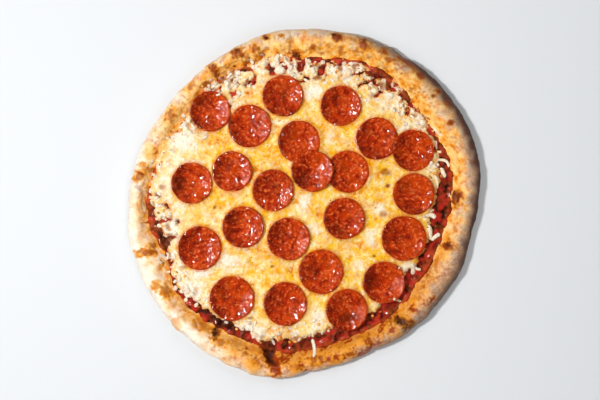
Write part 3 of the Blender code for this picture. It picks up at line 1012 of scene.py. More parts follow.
def pressed(sections: np.ndarray) -> bpy.types.Mesh:
    """A closed round solid, made from a grid that is wrapped round its cuts.

    Args:
        sections: for each bearing, evenly round, a radius and a height for each ring, from the
            middle of the underside, out and over, to the middle of the top.

    Returns:
        Its mesh.
    """
    columns, rings = len(sections), sections.shape[1] - 1
    shape = bmesh.new()
    bmesh.ops.create_grid(shape, x_segments=columns, y_segments=rings, size=1.0)
    mesh = settled(shape, "pressed")
    across, along = np.rint((places_of(mesh)[:, :2] * MM + 1) / 2 * (columns, rings)).astype(int).T
    column = across % columns
    radius, height = sections[column, along].T
    points = ring(column / columns * 360, radius)
    points[:, 2] = height
    move_points(mesh, points)
    shape = bmesh.new()
    shape.from_mesh(mesh)
    bmesh.ops.remove_doubles(shape, verts=shape.verts, dist=1e-7)
    return settled(shape, mesh)


def heaped(blank: bpy.types.Mesh, bits: list[np.ndarray], name: str) -> bpy.types.Mesh:
    """Many copies of one mesh as a single mesh.

    Args:
        blank: the mesh to copy.
        bits: the places of each copy's points.
        name: the new mesh's name.

    Returns:
        The new mesh.
    """
    heap = bmesh.new()
    for _ in bits:
        heap.from_mesh(blank)
    mesh = settled(heap, name)
    move_points(mesh, np.concatenate(bits))
    return mesh


@dataclass
class Crust:
    """The dough: a thin base with a risen, blistered rim."""

    columns: int = 1080
    skin_rings: int = 79
    floor_height: float = 5.0
    floor_shares: tuple[float, ...] = (0.97, 0.5, 0.0)
    core_height: float = 7.5
    core_share: float = 0.52
    rays: int = 140
    narrowest: float = 8.0
    pan_slack: float = 0.2
    search_step: float = 0.25
    free_heights: tuple[float, float] = (0.3, 3.5)
    free_shares: tuple[float, float] = (-0.02, 0.08)
    swell: float = 0.1
    lumps: Relief = Relief(0.9, 12.0, 1)
    bubbles: Relief = Relief(0.6, 6.5, 2)
    pebbles: Relief = Relief(0.3, 5.0, 4, Grain.BEADS)
    grit: Relief = Relief(0.1, 2.0, 3)
    blister_rise: float = 1.6
    crease_depth: float = 2.6
    mark_heights: tuple[float, float] = (5.5, 10.5)
    smoke_heights: tuple[float, float] = (1.5, 7.5)

    def build(self) -> bpy.types.Mesh:
        """Builds and dresses the crust.

        Returns:
            Its mesh.
        """
        self.form = Ground(merged_quads("crust"))
        bearings = np.arange(self.columns) * 360 / self.columns
        pan = smoothed(np.array([self._pan_edge(bearing) for bearing in bearings]), 9, 0, True)
        cuts = np.array([self._cut(bearing, inside) for bearing, inside in zip(bearings, pan)])
        cuts = smoothed(smoothed(cuts, 8, 0, True), 3, 1, False)
        self.inside = dict(zip(bearings, cuts[:, -1, 0]))
        self.outside = dict(zip(bearings, cuts[:, :, 0].max(axis=1)))
        under = [0 * cuts[:, :1], cuts[:, :1] * (0.5, 0.0)]
        floor = [cuts[:, -1:] * (share, 0) + (0, self.floor_height) for share in self.floor_shares]
        mesh = pressed(np.concatenate((*under, cuts, *floor), axis=1))
        points = places_of(mesh)
        free = ease(self._across(points), *self.free_shares)
        free = free * ease(points[:, 2], *self.free_heights)
        rise = self._relief(points)
        raise_skin(mesh, free * rise)
        self._colour(mesh, points, rise)
        put_out("crust_baked", mesh, BakedDough().material(), "crust")
        return mesh

    def _pan_edge(self, bearing: float) -> float:
        """Where the rim starts to rise from the pan, found by stepping in from the rim.

        Args:
            bearing: the bearing to look along.

        Returns:
            The radius.
        """
        x, y = heading(bearing)
        radius = self.form.outside(bearing, self.core_height) - self.narrowest
        while self.form.top(radius * x, radius * y) > self.floor_height + self.pan_slack:
            radius -= self.search_step
        return radius

    def _cut(self, bearing: float, inside: float) -> np.ndarray:
        """The rim's cut at a bearing, in even steps from its underside round to the pan.

        Args:
            bearing: the bearing of the cut.
            inside: the radius of the pan's edge there.

        Returns:
            A radius and a height for each step.
        """
        outside = self.form.outside(bearing, self.core_height)
        core = inside + self.core_share * (outside - inside)
        last = math.pi + math.atan2(self.core_height - self.floor_height, core - inside)
        angles = np.linspace(-math.pi / 2, last, self.rays)
        line = self.form.section(bearing, core, self.core_height, angles)
        return even_steps(line, self.skin_rings)

    def _across(self, points: np.ndarray) -> np.ndarray:
        """Where each point is between the pan's edge, 0, and the outside, 1."""
        inside, outside = by_bearing(self.inside, points), by_bearing(self.outside, points)
        return (np.hypot(points[:, 0], points[:, 1]) - inside) / (outside - inside)

    def _relief(self, points: np.ndarray) -> np.ndarray:
        """How the dough rises over the smooth form.

        Args:
            points: places on the smooth form.

        Returns:
            A height for each point.
        """
        ragged = 0.25 * uneven(points, 3.0, 11)
        inner = ease(self._across(points), 0.95, 0.6)
        rise = self.swell + self.lumps.at(points) + np.abs(self.bubbles.at(points))
        rise = rise + inner * self.pebbles.at(points) + (0.5 + inner) * self.grit.at(points)
        rise = rise + self.blister_rise * cover(points, BLISTERS, ragged, 0.5)
        return rise - self.crease_depth * cover(points, CREASES, ragged, 0.8)

    def _colour(self, mesh: bpy.types.Mesh, points: np.ndarray, rise: np.ndarray) -> None:
        """Paints the shares that the dough's material reads.

        Args:
            mesh: the crust's mesh.
            points: its points before they were raised.
            rise: how far each was raised.
        """
        across = self._across(points)
        wander = uneven(points, 9.0, 5)
        fine = uneven(points, 2.6, 6)
        ragged = 0.6 * uneven(points, 4.0, 9) + 0.5 * fine + 0.3 * uneven(points, 1.2, 7)
        patchy = 0.85 + 0.35 * uneven(points, 1.9, 12)
        baked = by_bearing(BAKED, points)

        # Oil took the gold outward, as far as a ragged line. Under it the rim is baked brown, and
        # the hollows of its relief get painted shade.
        reach = by_bearing(GOLD_REACH, points)
        gold = ease(across - reach + 0.16 * wander + 0.06 * fine, 0.2, -0.25)
        hollows = ease(rise + 0.5 * wander + 0.5 * fine, 0.3, -0.7)
        deep = (0.1 + hollows + 0.45 * ease(across, 0.8, 0.3)) * baked
        # Flour, laid by bearing so that it also paints light on the window side and shade away from
        # it.
        floury = by_bearing(FLOURED, points) + 0.4 * uneven(points, 6.0, 8) + 0.15 * fine

        # The outside is browned, and painted darker on the side away from the window as painted
        # shade. Both fade toward the underside.
        bran = by_bearing(SMOKED, points) * ease(across + 0.06 * wander, 0.68, 0.99)
        smoked = ease(points[:, 2] + 1.6 * wander + 0.6 * fine, *self.smoke_heights)
        bran = bran * (0.25 + 0.75 * smoked)

        # A toast mark is dark inside tan inside gold. Marks keep off the outer wall, where one
        # would run down as a stripe, because it's given by x and y alone.
        upper = ease(points[:, 2] + wander, *self.mark_heights)
        upper = np.maximum(upper, ease(across, 0.9, 0.6))
        halo = upper * cover(points, TOASTED, ragged - 0.5, 0.7)
        tan = upper * cover(points, TOASTED, ragged - 0.1, 0.6)
        toast = upper * cover(points, TOASTED, ragged + 0.05, 0.5)
        specks = ease(uneven(points, 2.4, 13) + 0.35 * wander - 0.3 * rise, 0.05, 0.65)
        specks = specks * by_bearing(SPECKLED, points) * ease(across, 1.05, 0.85)

        # Sauce stains the foot of the rim.
        stain = ease(across + 0.08 * wander + 0.08 * fine, 0.15, 0.0)
        set_shares(
            mesh,
            flour=floury,
            bran=bran,
            gold=np.maximum(gold, ease(halo, 0.0, 0.4)),
            amber=0.45 * baked + 0.5 * halo,
            deep=np.maximum(deep, 0.75 * tan),
            stain=stain * (0.35 + 0.6 * wander + 0.4 * fine),
            toast=np.maximum(patchy * toast**1.4, 0.75 * specks),
            char=patchy * upper * cover(points, CHARRED, 0.7 * ragged, 0.6),
        )


@dataclass
class Sauce:
    """The sauce, which shows as a ring round the cheese and through its holes."""

    columns: int = 720
    dense_rings: int = 46
    dense_reach: float = 42.0
    under_share: float = 0.6
    under_lip: float = 2.0
    top_shares: tuple[float, ...] = (0.66, 0.33, 0.0)
    bottom: float = 5.3
    top: float = 7.0
    rim_radius: float = 125.0
    over_the_edge: float = 3.0
    edge_drop: float = 0.5
    pulp: Relief = Relief(0.5, 5.5, 21)
    seeds: Relief = Relief(0.2, 2.2, 22)
    laps: Relief = Relief(1.2, 7.0, 25)

    def build(self) -> bpy.types.Mesh:
        """Builds and dresses the sauce.

        Returns:
            Its mesh.
        """
        form = Ground(merged_quads("sauce"))
        bearings = np.arange(self.columns) * 360 / self.columns
        middle = (self.bottom + self.top) / 2
        edges = np.array([form.outside(bearing, middle + 0.2) for bearing in bearings])
        rim = ring(bearings, self.rim_radius)
        lips = ease(uneven(rim, 10.0, 26) + 0.3 * uneven(rim, 4.0, 27), -0.5, 0.4)
        lips = self.over_the_edge * lips
        mesh = pressed(np.array([self._cut(edge, lip) for edge, lip in zip(edges, lips)]))
        points = places_of(mesh)
        radius = np.hypot(points[:, 0], points[:, 1])
        inward = by_bearing(dict(zip(bearings, edges)), points) - radius
        wander = uneven(points, 3.0, 23) + 0.5 * uneven(points, 7.0, 24)
        free = ease(points[:, 2], self.top - 1.0, self.top - 0.4)
        rise = self.pulp.at(points) + self.seeds.at(points)
        raise_skin(mesh, free * (rise + ease(inward, 6.0, 0.5) * self.laps.at(points)))
        pools = 0.6 * ease(wander, 0.3, -0.5) + 0.6 * ease(inward + 1.5 * wander, 4.0, 0.5)
        # The near-black share marks thick sauce, and painted shade where a slice, the rim and the
        # fold shade the sauce.
        set_shares(
            mesh,
            oil=by_bearing(OILED, points) * pools,
            thick=cover(points, THICKENED, 0.35 * wander - 0.2, 0.4),
        )
        put_out("sauce_spread", mesh, TomatoSauce().material(), "sauce")
        return mesh

    def _cut(self, edge: float, lip: float) -> list[tuple[float, float]]:
        """The sauce's cut at a bearing, from the middle of its underside round to its top's.

        Args:
            edge: the radius of its edge.
            lip: how far over the edge it laps up the rim.

        Returns:
            A radius and a height for each step.
        """
        under = [(0.0, self.bottom), (self.under_share * edge, self.bottom)]
        under.append((edge - self.under_lip, self.bottom))
        side = [(edge, (self.bottom + self.top) / 2), (edge + lip, self.top - self.edge_drop)]
        steps = np.linspace(0.0, self.dense_reach, self.dense_rings)
        dense = [(edge - step, self.top) for step in steps]
        sparse = [(share * (edge - self.dense_reach), self.top) for share in self.top_shares]
        return under + side + dense + sparse


@dataclass
class Cheese:
    """The layer of melted cheese."""

    cells: int = 300
    stations: int = 720
    sauce_top: float = 7.0
    bottom: float = 6.5
    sunk: float = 0.8
    fingers: Relief = Relief(2.4, 5.5, 31)
    fringe: Relief = Relief(1.2, 2.4, 32)
    shoulder: float = 4.0
    lumps: Relief = Relief(0.4, 9.0, 36)
    blobs: Relief = Relief(0.5, 4.0, 40, Grain.BEADS)
    beads: Relief = Relief(0.3, 2.2, 37, Grain.BEADS)
    shreds: Relief = Relief(0.5, 2.0, 38)
    curds: Relief = Relief(1.0, 3.8, 47, Grain.BEADS)
    grit: Relief = Relief(0.12, 1.3, 39)
    warp: float = 1.6
    strand_stretch: float = 4.0
    strand_turn: float = 2.5
    crowd_radii: tuple[float, float] = (92.0, 116.0)
    gap_size: float = 7.5
    edge_pull: float = 5.0
    creep: float = 1.6

    def build(self) -> bpy.types.Mesh:
        """Builds and dresses the cheese.

        Returns:
            Its mesh.
        """
        quads = merged_quads("cheese")
        self.rough_form = Ground(quads)
        self.form = Ground(subdivided(quads, 2))
        mesh, points, inset = self._sheet()
        points[:, 2] = self._heights(points, inset, self._relief(points))
        move_points(mesh, points)
        self._close(mesh)
        points = places_of(mesh)
        self._colour(mesh, points, self._relief(points))
        put_out("cheese_melted", mesh, MeltedCheese().material(), "cheese")
        return mesh

    def _sheet(self) -> tuple[bpy.types.Mesh, np.ndarray, np.ndarray]:
        """A square grid, rounded and stretched to the cheese's outline.

        Returns:
            The mesh, its points, and how far each is in from the edge.
        """
        shape = bmesh.new()
        bmesh.ops.create_grid(shape, x_segments=self.cells, y_segments=self.cells, size=1.0)
        mesh = settled(shape, "sheet")
        x, y = (places_of(mesh) * MM)[:, :2].T
        rounded = np.column_stack((x * np.sqrt(1 - y * y / 2), y * np.sqrt(1 - x * x / 2)))
        share = np.hypot(*rounded.T)
        bearings = np.arange(self.stations) * 360 / self.stations
        edges = np.array([self.rough_form.outside(b, CHEESE_EDGE_HEIGHT) for b in bearings])
        rim = ring(bearings, edges)
        edges = edges + self.fingers.at(rim) + self.fringe.at(rim) + by_bearing(RUN_OUT, rim)
        edge = by_bearing(dict(zip(bearings, edges)), rounded)
        return mesh, ring(bearings_of(rounded), share * edge), (1 - share) * edge

    def _relief(self, points: np.ndarray) -> np.ndarray:
        """The beads, lumps and half-melted shreds of the cheese's top.

        Args:
            points: places, of which x and y are read.

        Returns:
            A height for each point.
        """
        flat = points * (1.0, 1.0, 0.0)
        warp = np.column_stack((uneven(flat, 6.0, 33), uneven(flat, 6.0, 34), 0 * flat[:, 0]))
        bent = flat + self.warp * warp
        turn = self.strand_turn * uneven(flat, 22.0, 35)
        along = bent[:, 0] * np.cos(turn) + bent[:, 1] * np.sin(turn)
        across = bent[:, 1] * np.cos(turn) - bent[:, 0] * np.sin(turn)
        strands = np.column_stack((along / self.strand_stretch, across, 0 * along))
        rise = self.lumps.at(flat) + self.blobs.at(bent) + self.beads.at(bent)
        rise = rise + 0.5 * self.shreds.height - np.abs(self.shreds.at(strands))
        return rise + self._crowd(flat) * self.curds.at(bent) + self.grit.at(flat)

    def _crowd(self, points: np.ndarray) -> np.ndarray:
        """How much of the cheese is half-melted curds at each point: more of it near the edge."""
        radius = np.hypot(points[:, 0], points[:, 1]) + 9.0 * uneven(points, 12.0, 48)
        return by_bearing(STREWN, points) * ease(radius, *self.crowd_radii)

    def _form_height(self, x: float, y: float, inset: float) -> float:
        """The height of the cheese's solid at a place. Where the cheese runs out beyond its solid,
        it's as high as the solid's edge.

        Args:
            x: the place's x.
            y: the place's y.
            inset: how far the place is in from the dressed cheese's edge.

        Returns:
            The height.
        """
        pull = self.edge_pull if inset < self.edge_pull else 0.0
        height = 0.0
        while height < self.sauce_top:
            share = max(0.0, 1.0 - pull / max(math.hypot(x, y), 1.0))
            height = self.form.top(x * share, y * share)
            pull += 1.0
        return height

    def _heights(self, points: np.ndarray, inset: np.ndarray, relief: np.ndarray) -> np.ndarray:
        """The height of the cheese's top, which drops at its edge and in its holes.

        Args:
            points: places, of which x and y are read.
            inset: how far each is in from the edge.
            relief: how far each stands out.

        Returns:
            A height for each point.
        """
        heights = np.array([self._form_height(x, y, i) for (x, y, _), i in zip(points, inset)])
        ragged = 0.25 * uneven(points, 2.4, 41) + 0.12 * uneven(points, 1.1, 42)
        shaken = points + 3.0 * ragged[:, None]
        gaps = ease(uneven(shaken, self.gap_size, 49, Grain.BEADS), 0.0, -0.3)
        gaps = gaps * ease(self._crowd(points), 0.6, 0.9)
        holes = np.maximum(cover(points, HOLES, ragged - 0.2, 0.3), gaps)
        edge = ease(inset + 0.8 * uneven(points, 2.0, 43), -0.5, self.shoulder)
        away = past_slices(points)
        heights = heights + self.creep * ease(away, -6.0, -0.4) * ease(away, 4.0, 0.0)
        relief = relief * (1.0 - ease(away, 1.5, -0.5))
        low = self.sauce_top - self.sunk
        standing = low + (heights + relief - low) * np.sqrt(edge)
        return standing + (low - standing) * np.clip(holes, 0.0, 1.0)

    def _close(self, mesh: bpy.types.Mesh) -> None:
        """Gives the sheet a skirt down into the sauce and a flat underside.

        Args:
            mesh: the sheet.
        """
        shape = bmesh.new()
        shape.from_mesh(mesh)
        rim = [edge for edge in shape.edges if edge.is_boundary]
        skirt = bmesh.ops.extrude_edge_only(shape, edges=rim)["geom"]
        for vertex in skirt:
            if isinstance(vertex, bmesh.types.BMVert):
                vertex.co.z = self.bottom * MM
        rim = [edge for edge in shape.edges if edge.is_boundary]
        bmesh.ops.holes_fill(shape, edges=rim, sides=0)
        bmesh.ops.recalc_face_normals(shape, faces=shape.faces)
        settled(shape, mesh)

    def _colour(self, mesh: bpy.types.Mesh, points: np.ndarray, relief: np.ndarray) -> None:
        """Paints the shares that the cheese's material reads.

        Args:
            mesh: the cheese's mesh.
            points: its points.
            relief: how far each stands out.
        """
        clouds = uneven(points, 9.0, 44)
        fine = uneven(points, 2.2, 45)
        ragged = 0.35 * uneven(points, 3.2, 46) + 0.2 * fine
        crowd = self._crowd(points * (1.0, 1.0, 0.0))
        deep = ease(relief + 0.2 * fine, 0.1, -0.6)

        # Curds dry white where they stand up.
        white = cover(points, WHITE, 1.4 * ragged, 0.7) * (1.0 - 0.6 * deep)
        tops = ease(relief + 0.4 * clouds, 0.1, 0.9) * (0.6 + 0.6 * crowd)

        # Oil gathers in the hollows, most of it toward the middle.
        middle = ease(np.hypot(points[:, 0], points[:, 1]) + 12 * clouds, 130.0, 70.0)
        oil = (0.35 + 0.5 * middle) * deep + 0.45 * middle * ease(clouds, -0.2, 0.7)
        oil = oil + (0.3 + 0.6 * deep) * cover(points, OILY, 1.4 * ragged, 0.7)

        # Red oil seeps from the slices, and the sauce stains the cheese's foot.
        seep = ease(past_slices(points) + 1.2 * fine, 2.0, 0.2)
        foot = ease(points[:, 2], 8.6, 7.0)
        set_shares(
            mesh,
            oil=oil * (1.0 - 0.75 * white),
            white=white + 0.75 * tops + 0.35 * crowd,
            stain=0.75 * seep + 0.6 * foot,
            brown=cover(points, BROWNED, ragged, 0.6),
        )


@dataclass
class PepperoniSlice:
    """One slice of pepperoni, cupped by the oven. Those that another one lies on stay flat."""

    node: str
    number: int
    levels: int = 3
    swell: float = 0.15
    warp: Relief = Relief(0.4, 8.0, 50)
    mince: Relief = Relief(0.22, 3.0, 51)
    dish: float = 0.5
    curl: float = 0.4
    lain_on: tuple[int, ...] = (5, 6, 12)
    cured_toward: tuple[float, float] = (15.0, 25.0)
    cured_shares: tuple[float, float] = (0.05, 0.3)

    def build(self, material: bpy.types.Material) -> bpy.types.Mesh:
        """Builds and dresses the slice.

        Args:
            material: the meat.

        Returns:
            The slice's mesh.
        """
        mesh = subdivided(merged_quads(self.node), self.levels)
        points = places_of(mesh)
        middle, reach = SLICES[self.node]
        away = (points[:, :2] - middle) / reach
        self._cup(mesh, points, np.hypot(*away.T))
        self._colour(mesh, points, away)
        put_out(self.node + "_roasted", mesh, material, self.node)
        return mesh

    @property
    def shift(self) -> int:
        """How many patterns on this slice's are from the first one's."""
        return 5 * self.number

    def _cup(self, mesh: bpy.types.Mesh, points: np.ndarray, share: np.ndarray) -> None:
        """Makes the slice uneven, sinks its middle and curls its edge up.

        Args:
            mesh: the slice's mesh.
            points: its points.
            share: how far out each is, with 1 at the edge.
        """
        rise = self.warp.at(points, self.shift) + self.mince.at(points, self.shift)
        raise_skin(mesh, self.swell + rise)
        raised = places_of(mesh)
        raised[:, 2] -= self.dish * ease(outward(mesh)[:, 2], 0.3, 0.8) * ease(share, 0.9, 0.2)
        if self.number not in self.lain_on:
            curl = self.curl * (1.0 + 0.4 * uneven(points, 14.0, 52 + self.shift))
            raised[:, 2] += curl * ease(share, 0.55, 1.1)
        move_points(mesh, raised)

    def _colour(self, mesh: bpy.types.Mesh, points: np.ndarray, away: np.ndarray) -> None:
        """Paints the shares that the meat's material reads.

        Args:
            mesh: the slice's mesh.
            points: its points before they were raised.
            away: how far each is from the slice's middle in x and y, in slice radii.
        """
        draw = np.random.default_rng(self.number)
        share = np.hypot(*away.T)
        fine = uneven(points, 2.4, 54 + self.shift)
        broad = uneven(points, 7.0, 53 + self.shift)
        # Painted light and shade of the cup: the paprika is laid thicker on the side whose inner
        # wall faces the window, and the other side is painted darker.
        toward = away @ heading(draw.normal(*self.cured_toward))
        cured = draw.uniform(*self.cured_shares) + 0.5 * broad + 0.3 * fine + 0.3 * toward
        edge = 0.12 * ease(share + 0.04 * uneven(points, 3.0, 50 + self.shift), 0.86, 0.98)
        shade = 0.5 * ease(toward + 0.35 * broad + 0.1 * fine, -0.2, -1.0)
        ragged = 0.4 * uneven(points, 5.0, 50 + self.shift) + 0.12 * fine
        # Listed dark patches: partly roasting, partly painted shade inside the cups.
        dark = 0.85 * cover(points, SEARED, ragged, 0.9)
        seared = np.maximum(np.maximum(edge, shade), dark)
        set_shares(mesh, cured=np.minimum(cured, 0.6), seared=seared)


@dataclass
class Shreds:
    """Loose shreds of cheese: some that stand out, and a scatter near the cheese's edge."""

    seed: int = 5
    columns: int = 8
    rings: int = 12
    bends: int = 9
    scattered: int = 160
    shortest: float = 2.0
    longest: float = 7.0
    steps: int = 3
    widths: tuple[float, float] = (2.0, 4.4)
    spread: float = 9.0
    past_the_edge: float = 2.5
    over_slices: float = 0.5
    over_holes: float = 0.15
    lift: float = 0.03
    flatness: float = 0.64

    def build(self, ground: Ground, edge: Ground) -> bpy.types.Object:
        """Builds and dresses the shreds.

        Args:
            ground: what they lie on.
            edge: the cheese, round whose edge they are scattered.

        Returns:
            The piece.
        """
        shape = bmesh.new()
        bmesh.ops.create_uvsphere(
            shape, u_segments=self.columns, v_segments=self.rings, radius=1.0
        )
        ball = settled(shape, "ball")
        unit = places_of(ball) * MM
        rows = (*SHREDS, *self._scatter(edge))
        bits = [
            self._laid(unit, number, width, np.array(way), ground)
            for number, (width, _, way) in enumerate(rows)
        ]
        mesh = heaped(ball, bits, "shreds")
        fine = uneven(np.concatenate(bits), 2.0, 61)
        brown = np.repeat([brown for _, brown, _ in rows], len(unit))
        set_shares(
            mesh, white=1.1 + 0.5 * fine, oil=0.05 - 0.4 * fine, brown=brown * (0.8 + 0.6 * fine)
        )
        return put_out("mozzarella_shreds", mesh, MeltedCheese().material())

    def _scatter(self, edge: Ground) -> list[tuple]:
        """Draws shreds at random round the cheese's edge, clear of the slices and the holes.

        Args:
            edge: the cheese.

        Returns:
            Rows like those of SHREDS.
        """
        draw = np.random.default_rng(self.seed)
        rows = []
        while len(rows) < self.scattered:
            bearing = draw.uniform(0, 360)
            spot = heading(bearing)
            if draw.random() > by_bearing(STREWN, spot[None, :])[0]:
                continue
            radius = edge.outside(bearing, CHEESE_EDGE_HEIGHT) - abs(draw.normal(0.0, self.spread))
            way = [spot * (radius + self.past_the_edge)]
            turn = draw.uniform(0, math.tau)
            step = draw.uniform(self.shortest, self.longest) / self.steps
            for _ in range(self.steps):
                turn += draw.normal(0.0, 0.5)
                way.append(way[-1] + step * np.array((math.cos(turn), math.sin(turn))))
            over_hole = cover(np.array(way), HOLES, np.zeros(len(way))).max()
            over_slice = -past_slices(np.array(way)).min()
            if over_slice < self.over_slices and over_hole < self.over_holes:
                rows.append((draw.uniform(*self.widths), max(0.0, draw.normal(0.0, 0.25)), way))
        return rows

    def _laid(
        self, unit: np.ndarray, number: int, width: float, way: np.ndarray, ground: Ground
    ) -> np.ndarray:
        """A ball's points, drawn out along a shred's way.

        Args:
            unit: the points of a ball of radius 1 whose poles are above each other.
            number: which shred it is, for its unevenness.
            width: how wide it is.
            way: the points that it passes over.
            ground: what it lies on.

        Returns:
            The shred's points.
        """
        marks = np.linspace(0, len(way) - 1, self.bends)
        line = np.column_stack([np.interp(marks, range(len(way)), column) for column in way.T])
        line = smoothed(line, 2, 0, False)
        heights = np.array([ground.top(x, y) for x, y in line])
        heights = smoothed(heights + self.lift * width, 1, 0, False)
        ahead = np.gradient(line, axis=0)
        ahead /= np.linalg.norm(ahead, axis=1, keepdims=True) + 1e-9
        along, stations = (unit[:, 2] + 1) / 2, np.linspace(0, 1, self.bends)
        x, y, z, ahead_x, ahead_y = (
            np.interp(along, stations, column) for column in (*line.T, heights, *ahead.T)
        )
        # The ball's sides are made full nearly to its poles, so that the shred ends bluntly.
        pole = np.abs(unit[:, 2])
        full = (1 - pole**4) ** 0.5 / np.maximum(np.hypot(unit[:, 0], unit[:, 1]), 1e-6)
        full = np.where(pole > 0.999, 0.0, full)
        thickness = full * (1 + 0.35 * uneven(unit * 4 + 7.7 * number, 2.4, 62)) * width / 2
        side, rise = unit[:, 0] * thickness, unit[:, 1] * thickness * self.flatness
        return np.column_stack((x - ahead_y * side, y + ahead_x * side, z + rise))


@dataclass
class Crumbs:
    """Scorched bits of cheese and dough where the cheese meets the rim, thickest toward +Y, and
    fine dark specks all over the cheese."""

    seed: int = 8
    count: int = 130
    specks: int = 70
    speck_share: float = 0.45
    speck_radius: float = 115.0
    sizes: tuple[float, float] = (0.5, 1.5)
    spread: float = 5.0
    clear_of_slices: float = 0.5
    thickest: tuple[float, float] = (85.0, 55.0)
    thickest_share: float = 0.6
    stretches: tuple[float, float] = (0.8, 1.6)
    flatness: float = 0.55

    def build(self, ground: Ground, edge: Ground) -> bpy.types.Object:
        """Builds and dresses the crumbs.

        Args:
            ground: what they lie on.
            edge: the cheese, round whose edge they are scattered.

        Returns:
            The piece.
        """
        shape = bmesh.new()
        bmesh.ops.create_icosphere(shape, subdivisions=2, radius=1.0)
        ball = settled(shape, "ball")
        unit = places_of(ball) * MM
        draw = np.random.default_rng(self.seed)
        bits, toast, char = [], [], []
        while len(bits) < self.count + self.specks:
            speck = len(bits) >= self.count
            x, y = self._spot(draw, edge, speck)
            if past_slices(np.array([(x, y)]))[0] < self.clear_of_slices:
                continue
            size = draw.uniform(*self.sizes) * (self.speck_share if speck else 1.0)
            lump = self._lump(draw, unit, len(bits), size)
            bits.append(lump + (x, y, ground.top(x, y) + 0.2 * size))
            toast.append(draw.uniform(0.1, 0.5 if speck else 0.9))
            char.append(draw.normal(-0.1, 0.3))
        mesh = heaped(ball, bits, "crumbs")
        toast, char = np.repeat(toast, len(unit)), np.repeat(char, len(unit))
        set_shares(mesh, gold=np.ones(len(toast)), toast=toast, char=char)
        return put_out("scorched_crumbs", mesh, BakedDough().material())

    def _spot(self, draw: np.random.Generator, edge: Ground, speck: bool) -> np.ndarray:
        """Draws a place for a crumb.

        Args:
            draw: the source of chance.
            edge: the cheese.
            speck: whether it lies anywhere on the cheese.

        Returns:
            Its x and y.
        """
        near_the_top = draw.random() < self.thickest_share
        bearing = draw.normal(*self.thickest) if near_the_top else draw.uniform(0, 360)
        radius = edge.outside(bearing, CHEESE_EDGE_HEIGHT) + draw.normal(0.0, self.spread)
        if speck:
            radius = self.speck_radius * math.sqrt(draw.random())
        return radius * heading(bearing)

    def _lump(
        self, draw: np.random.Generator, unit: np.ndarray, number: int, size: float
    ) -> np.ndarray:
        """A crumb's points round its own middle.

        Args:
            draw: the source of chance.
            unit: the points of a ball of radius 1.
            number: which crumb it is, for its unevenness.
            size: about how wide it is.

        Returns:
            The points.
        """
        lump = unit * (1 + 0.4 * uneven(unit + 9.1 * number, 1.1, 63))[:, None]
        lump = lump * size * (draw.uniform(*self.stretches), 1.0, self.flatness)
        cosine, sine = heading(draw.uniform(0, 360))
        return lump @ np.array(((cosine, sine, 0.0), (-sine, cosine, 0.0), (0.0, 0.0, 1.0)))


@dataclass(frozen=True)
class Lamp:
    """A square soft light, turned to the middle of the pizza. Its distance and side are in metres.
    One that isn't mirrored shows in no wet surface."""

    name: str
    bearing: float
    elevation: float
    distance: float
    side: float
    watts: float
    mirrored: bool = True

    def build(self) -> None:
        """Hangs the lamp up."""
        rise = math.radians(self.elevation)
        way = Vector((*(heading(self.bearing) * math.cos(rise)), math.sin(rise)))
        light = bpy.data.lights.new(self.name, "AREA")
        light.shape = "SQUARE"
        light.size = self.side
        light.energy = self.watts
        lamp = bpy.data.objects.new(self.name, light)
        lamp.location = way * self.distance
        lamp.rotation_euler = way.to_track_quat("Z", "Y").to_euler()
        lamp.visible_camera = False
        lamp.visible_glossy = self.mirrored
        bpy.context.scene.collection.objects.link(lamp)


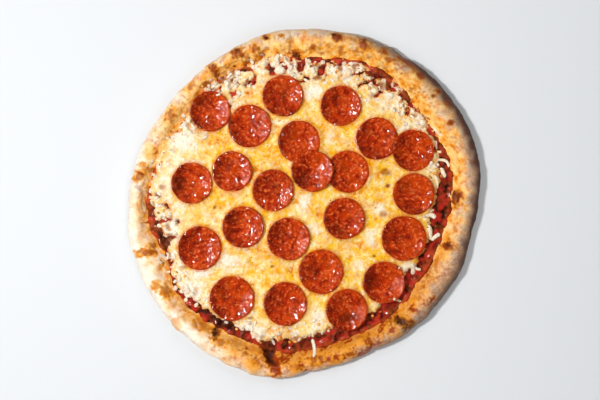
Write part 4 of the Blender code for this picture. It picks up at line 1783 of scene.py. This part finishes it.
@dataclass
class Studio:
    """The floor, the light and the camera. The sides of the floor and the lamps are in metres."""

    photo_width: float = 522.0
    middle: tuple[float, float] = (-3.65, 2.6)
    lens: float = 85.0
    sensor: float = 36.0
    pizza_plane: float = 10.0
    floor_side: float = 4.0
    floor_drop: float = 0.1
    sky: float = 0.12
    lamps: tuple[Lamp, ...] = (
        Lamp("window", 172.0, 62.0, distance=1.3, side=0.16, watts=14.0),
        Lamp("fill_above", 75.0, 50.0, distance=1.6, side=1.1, watts=7.6, mirrored=False),
        Lamp("fill_below", 285.0, 50.0, distance=1.6, side=1.1, watts=7.6, mirrored=False),
    )

    def build(self) -> None:
        """Sets the stage up."""
        self._floor()
        self._light()
        self._camera()

    def _floor(self) -> None:
        """A pale floor that the pizza lies on."""
        shape = bmesh.new()
        bmesh.ops.create_grid(shape, x_segments=1, y_segments=1, size=self.floor_side / 2)
        bmesh.ops.translate(shape, verts=shape.verts, vec=(0.0, 0.0, -self.floor_drop * MM))
        mesh = settled(shape, "floor")
        mesh.materials.append(PaintedBoard().material())
        floor = bpy.data.objects.new("floor", mesh)
        bpy.context.scene.collection.objects.link(floor)

    def _light(self) -> None:
        """Soft light from the left, weaker light from above and below in the picture, and a dim
        sky, which keeps the colours deep where the food is seen straight on."""
        for lamp in self.lamps:
            lamp.build()
        world = bpy.data.worlds.new("pale_sky")
        world.use_nodes = True
        world.node_tree.nodes.clear()
        sky = add_node(world.node_tree, "Background", {"Color": "#F4F7FB", "Strength": self.sky})
        add_node(world.node_tree, "OutputWorld", {"Surface": sky})
        bpy.context.scene.world = world

    def _camera(self) -> None:
        """A camera straight above, framed as the photo is."""
        camera = bpy.data.cameras.new("camera")
        camera.lens = self.lens
        camera.sensor_width = self.sensor
        height = self.photo_width * self.lens / self.sensor + self.pizza_plane
        eye = bpy.data.objects.new("camera", camera)
        eye.location = Vector((*self.middle, height)) * MM
        bpy.context.scene.collection.objects.link(eye)
        bpy.context.scene.camera = eye
        bpy.context.scene.view_settings.view_transform = "Standard"


def main() -> None:
    """Builds the pizza from the bottom up, then the stage round it."""
    logging.basicConfig(level=logging.INFO, format="%(relativeCreated)6d ms  %(message)s")
    crust = Crust().build()
    sauce = Sauce().build()
    cheese = Cheese().build()
    meat = CuredPepperoni().material()
    slices = [PepperoniSlice(node, number).build(meat) for number, node in enumerate(SLICES, 1)]
    ground, edge = Ground(crust, sauce, cheese, *slices), Ground(cheese)
    Shreds().build(ground, edge)
    Crumbs().build(ground, edge)
    Studio().build()


if __name__ == "__main__":
    main()
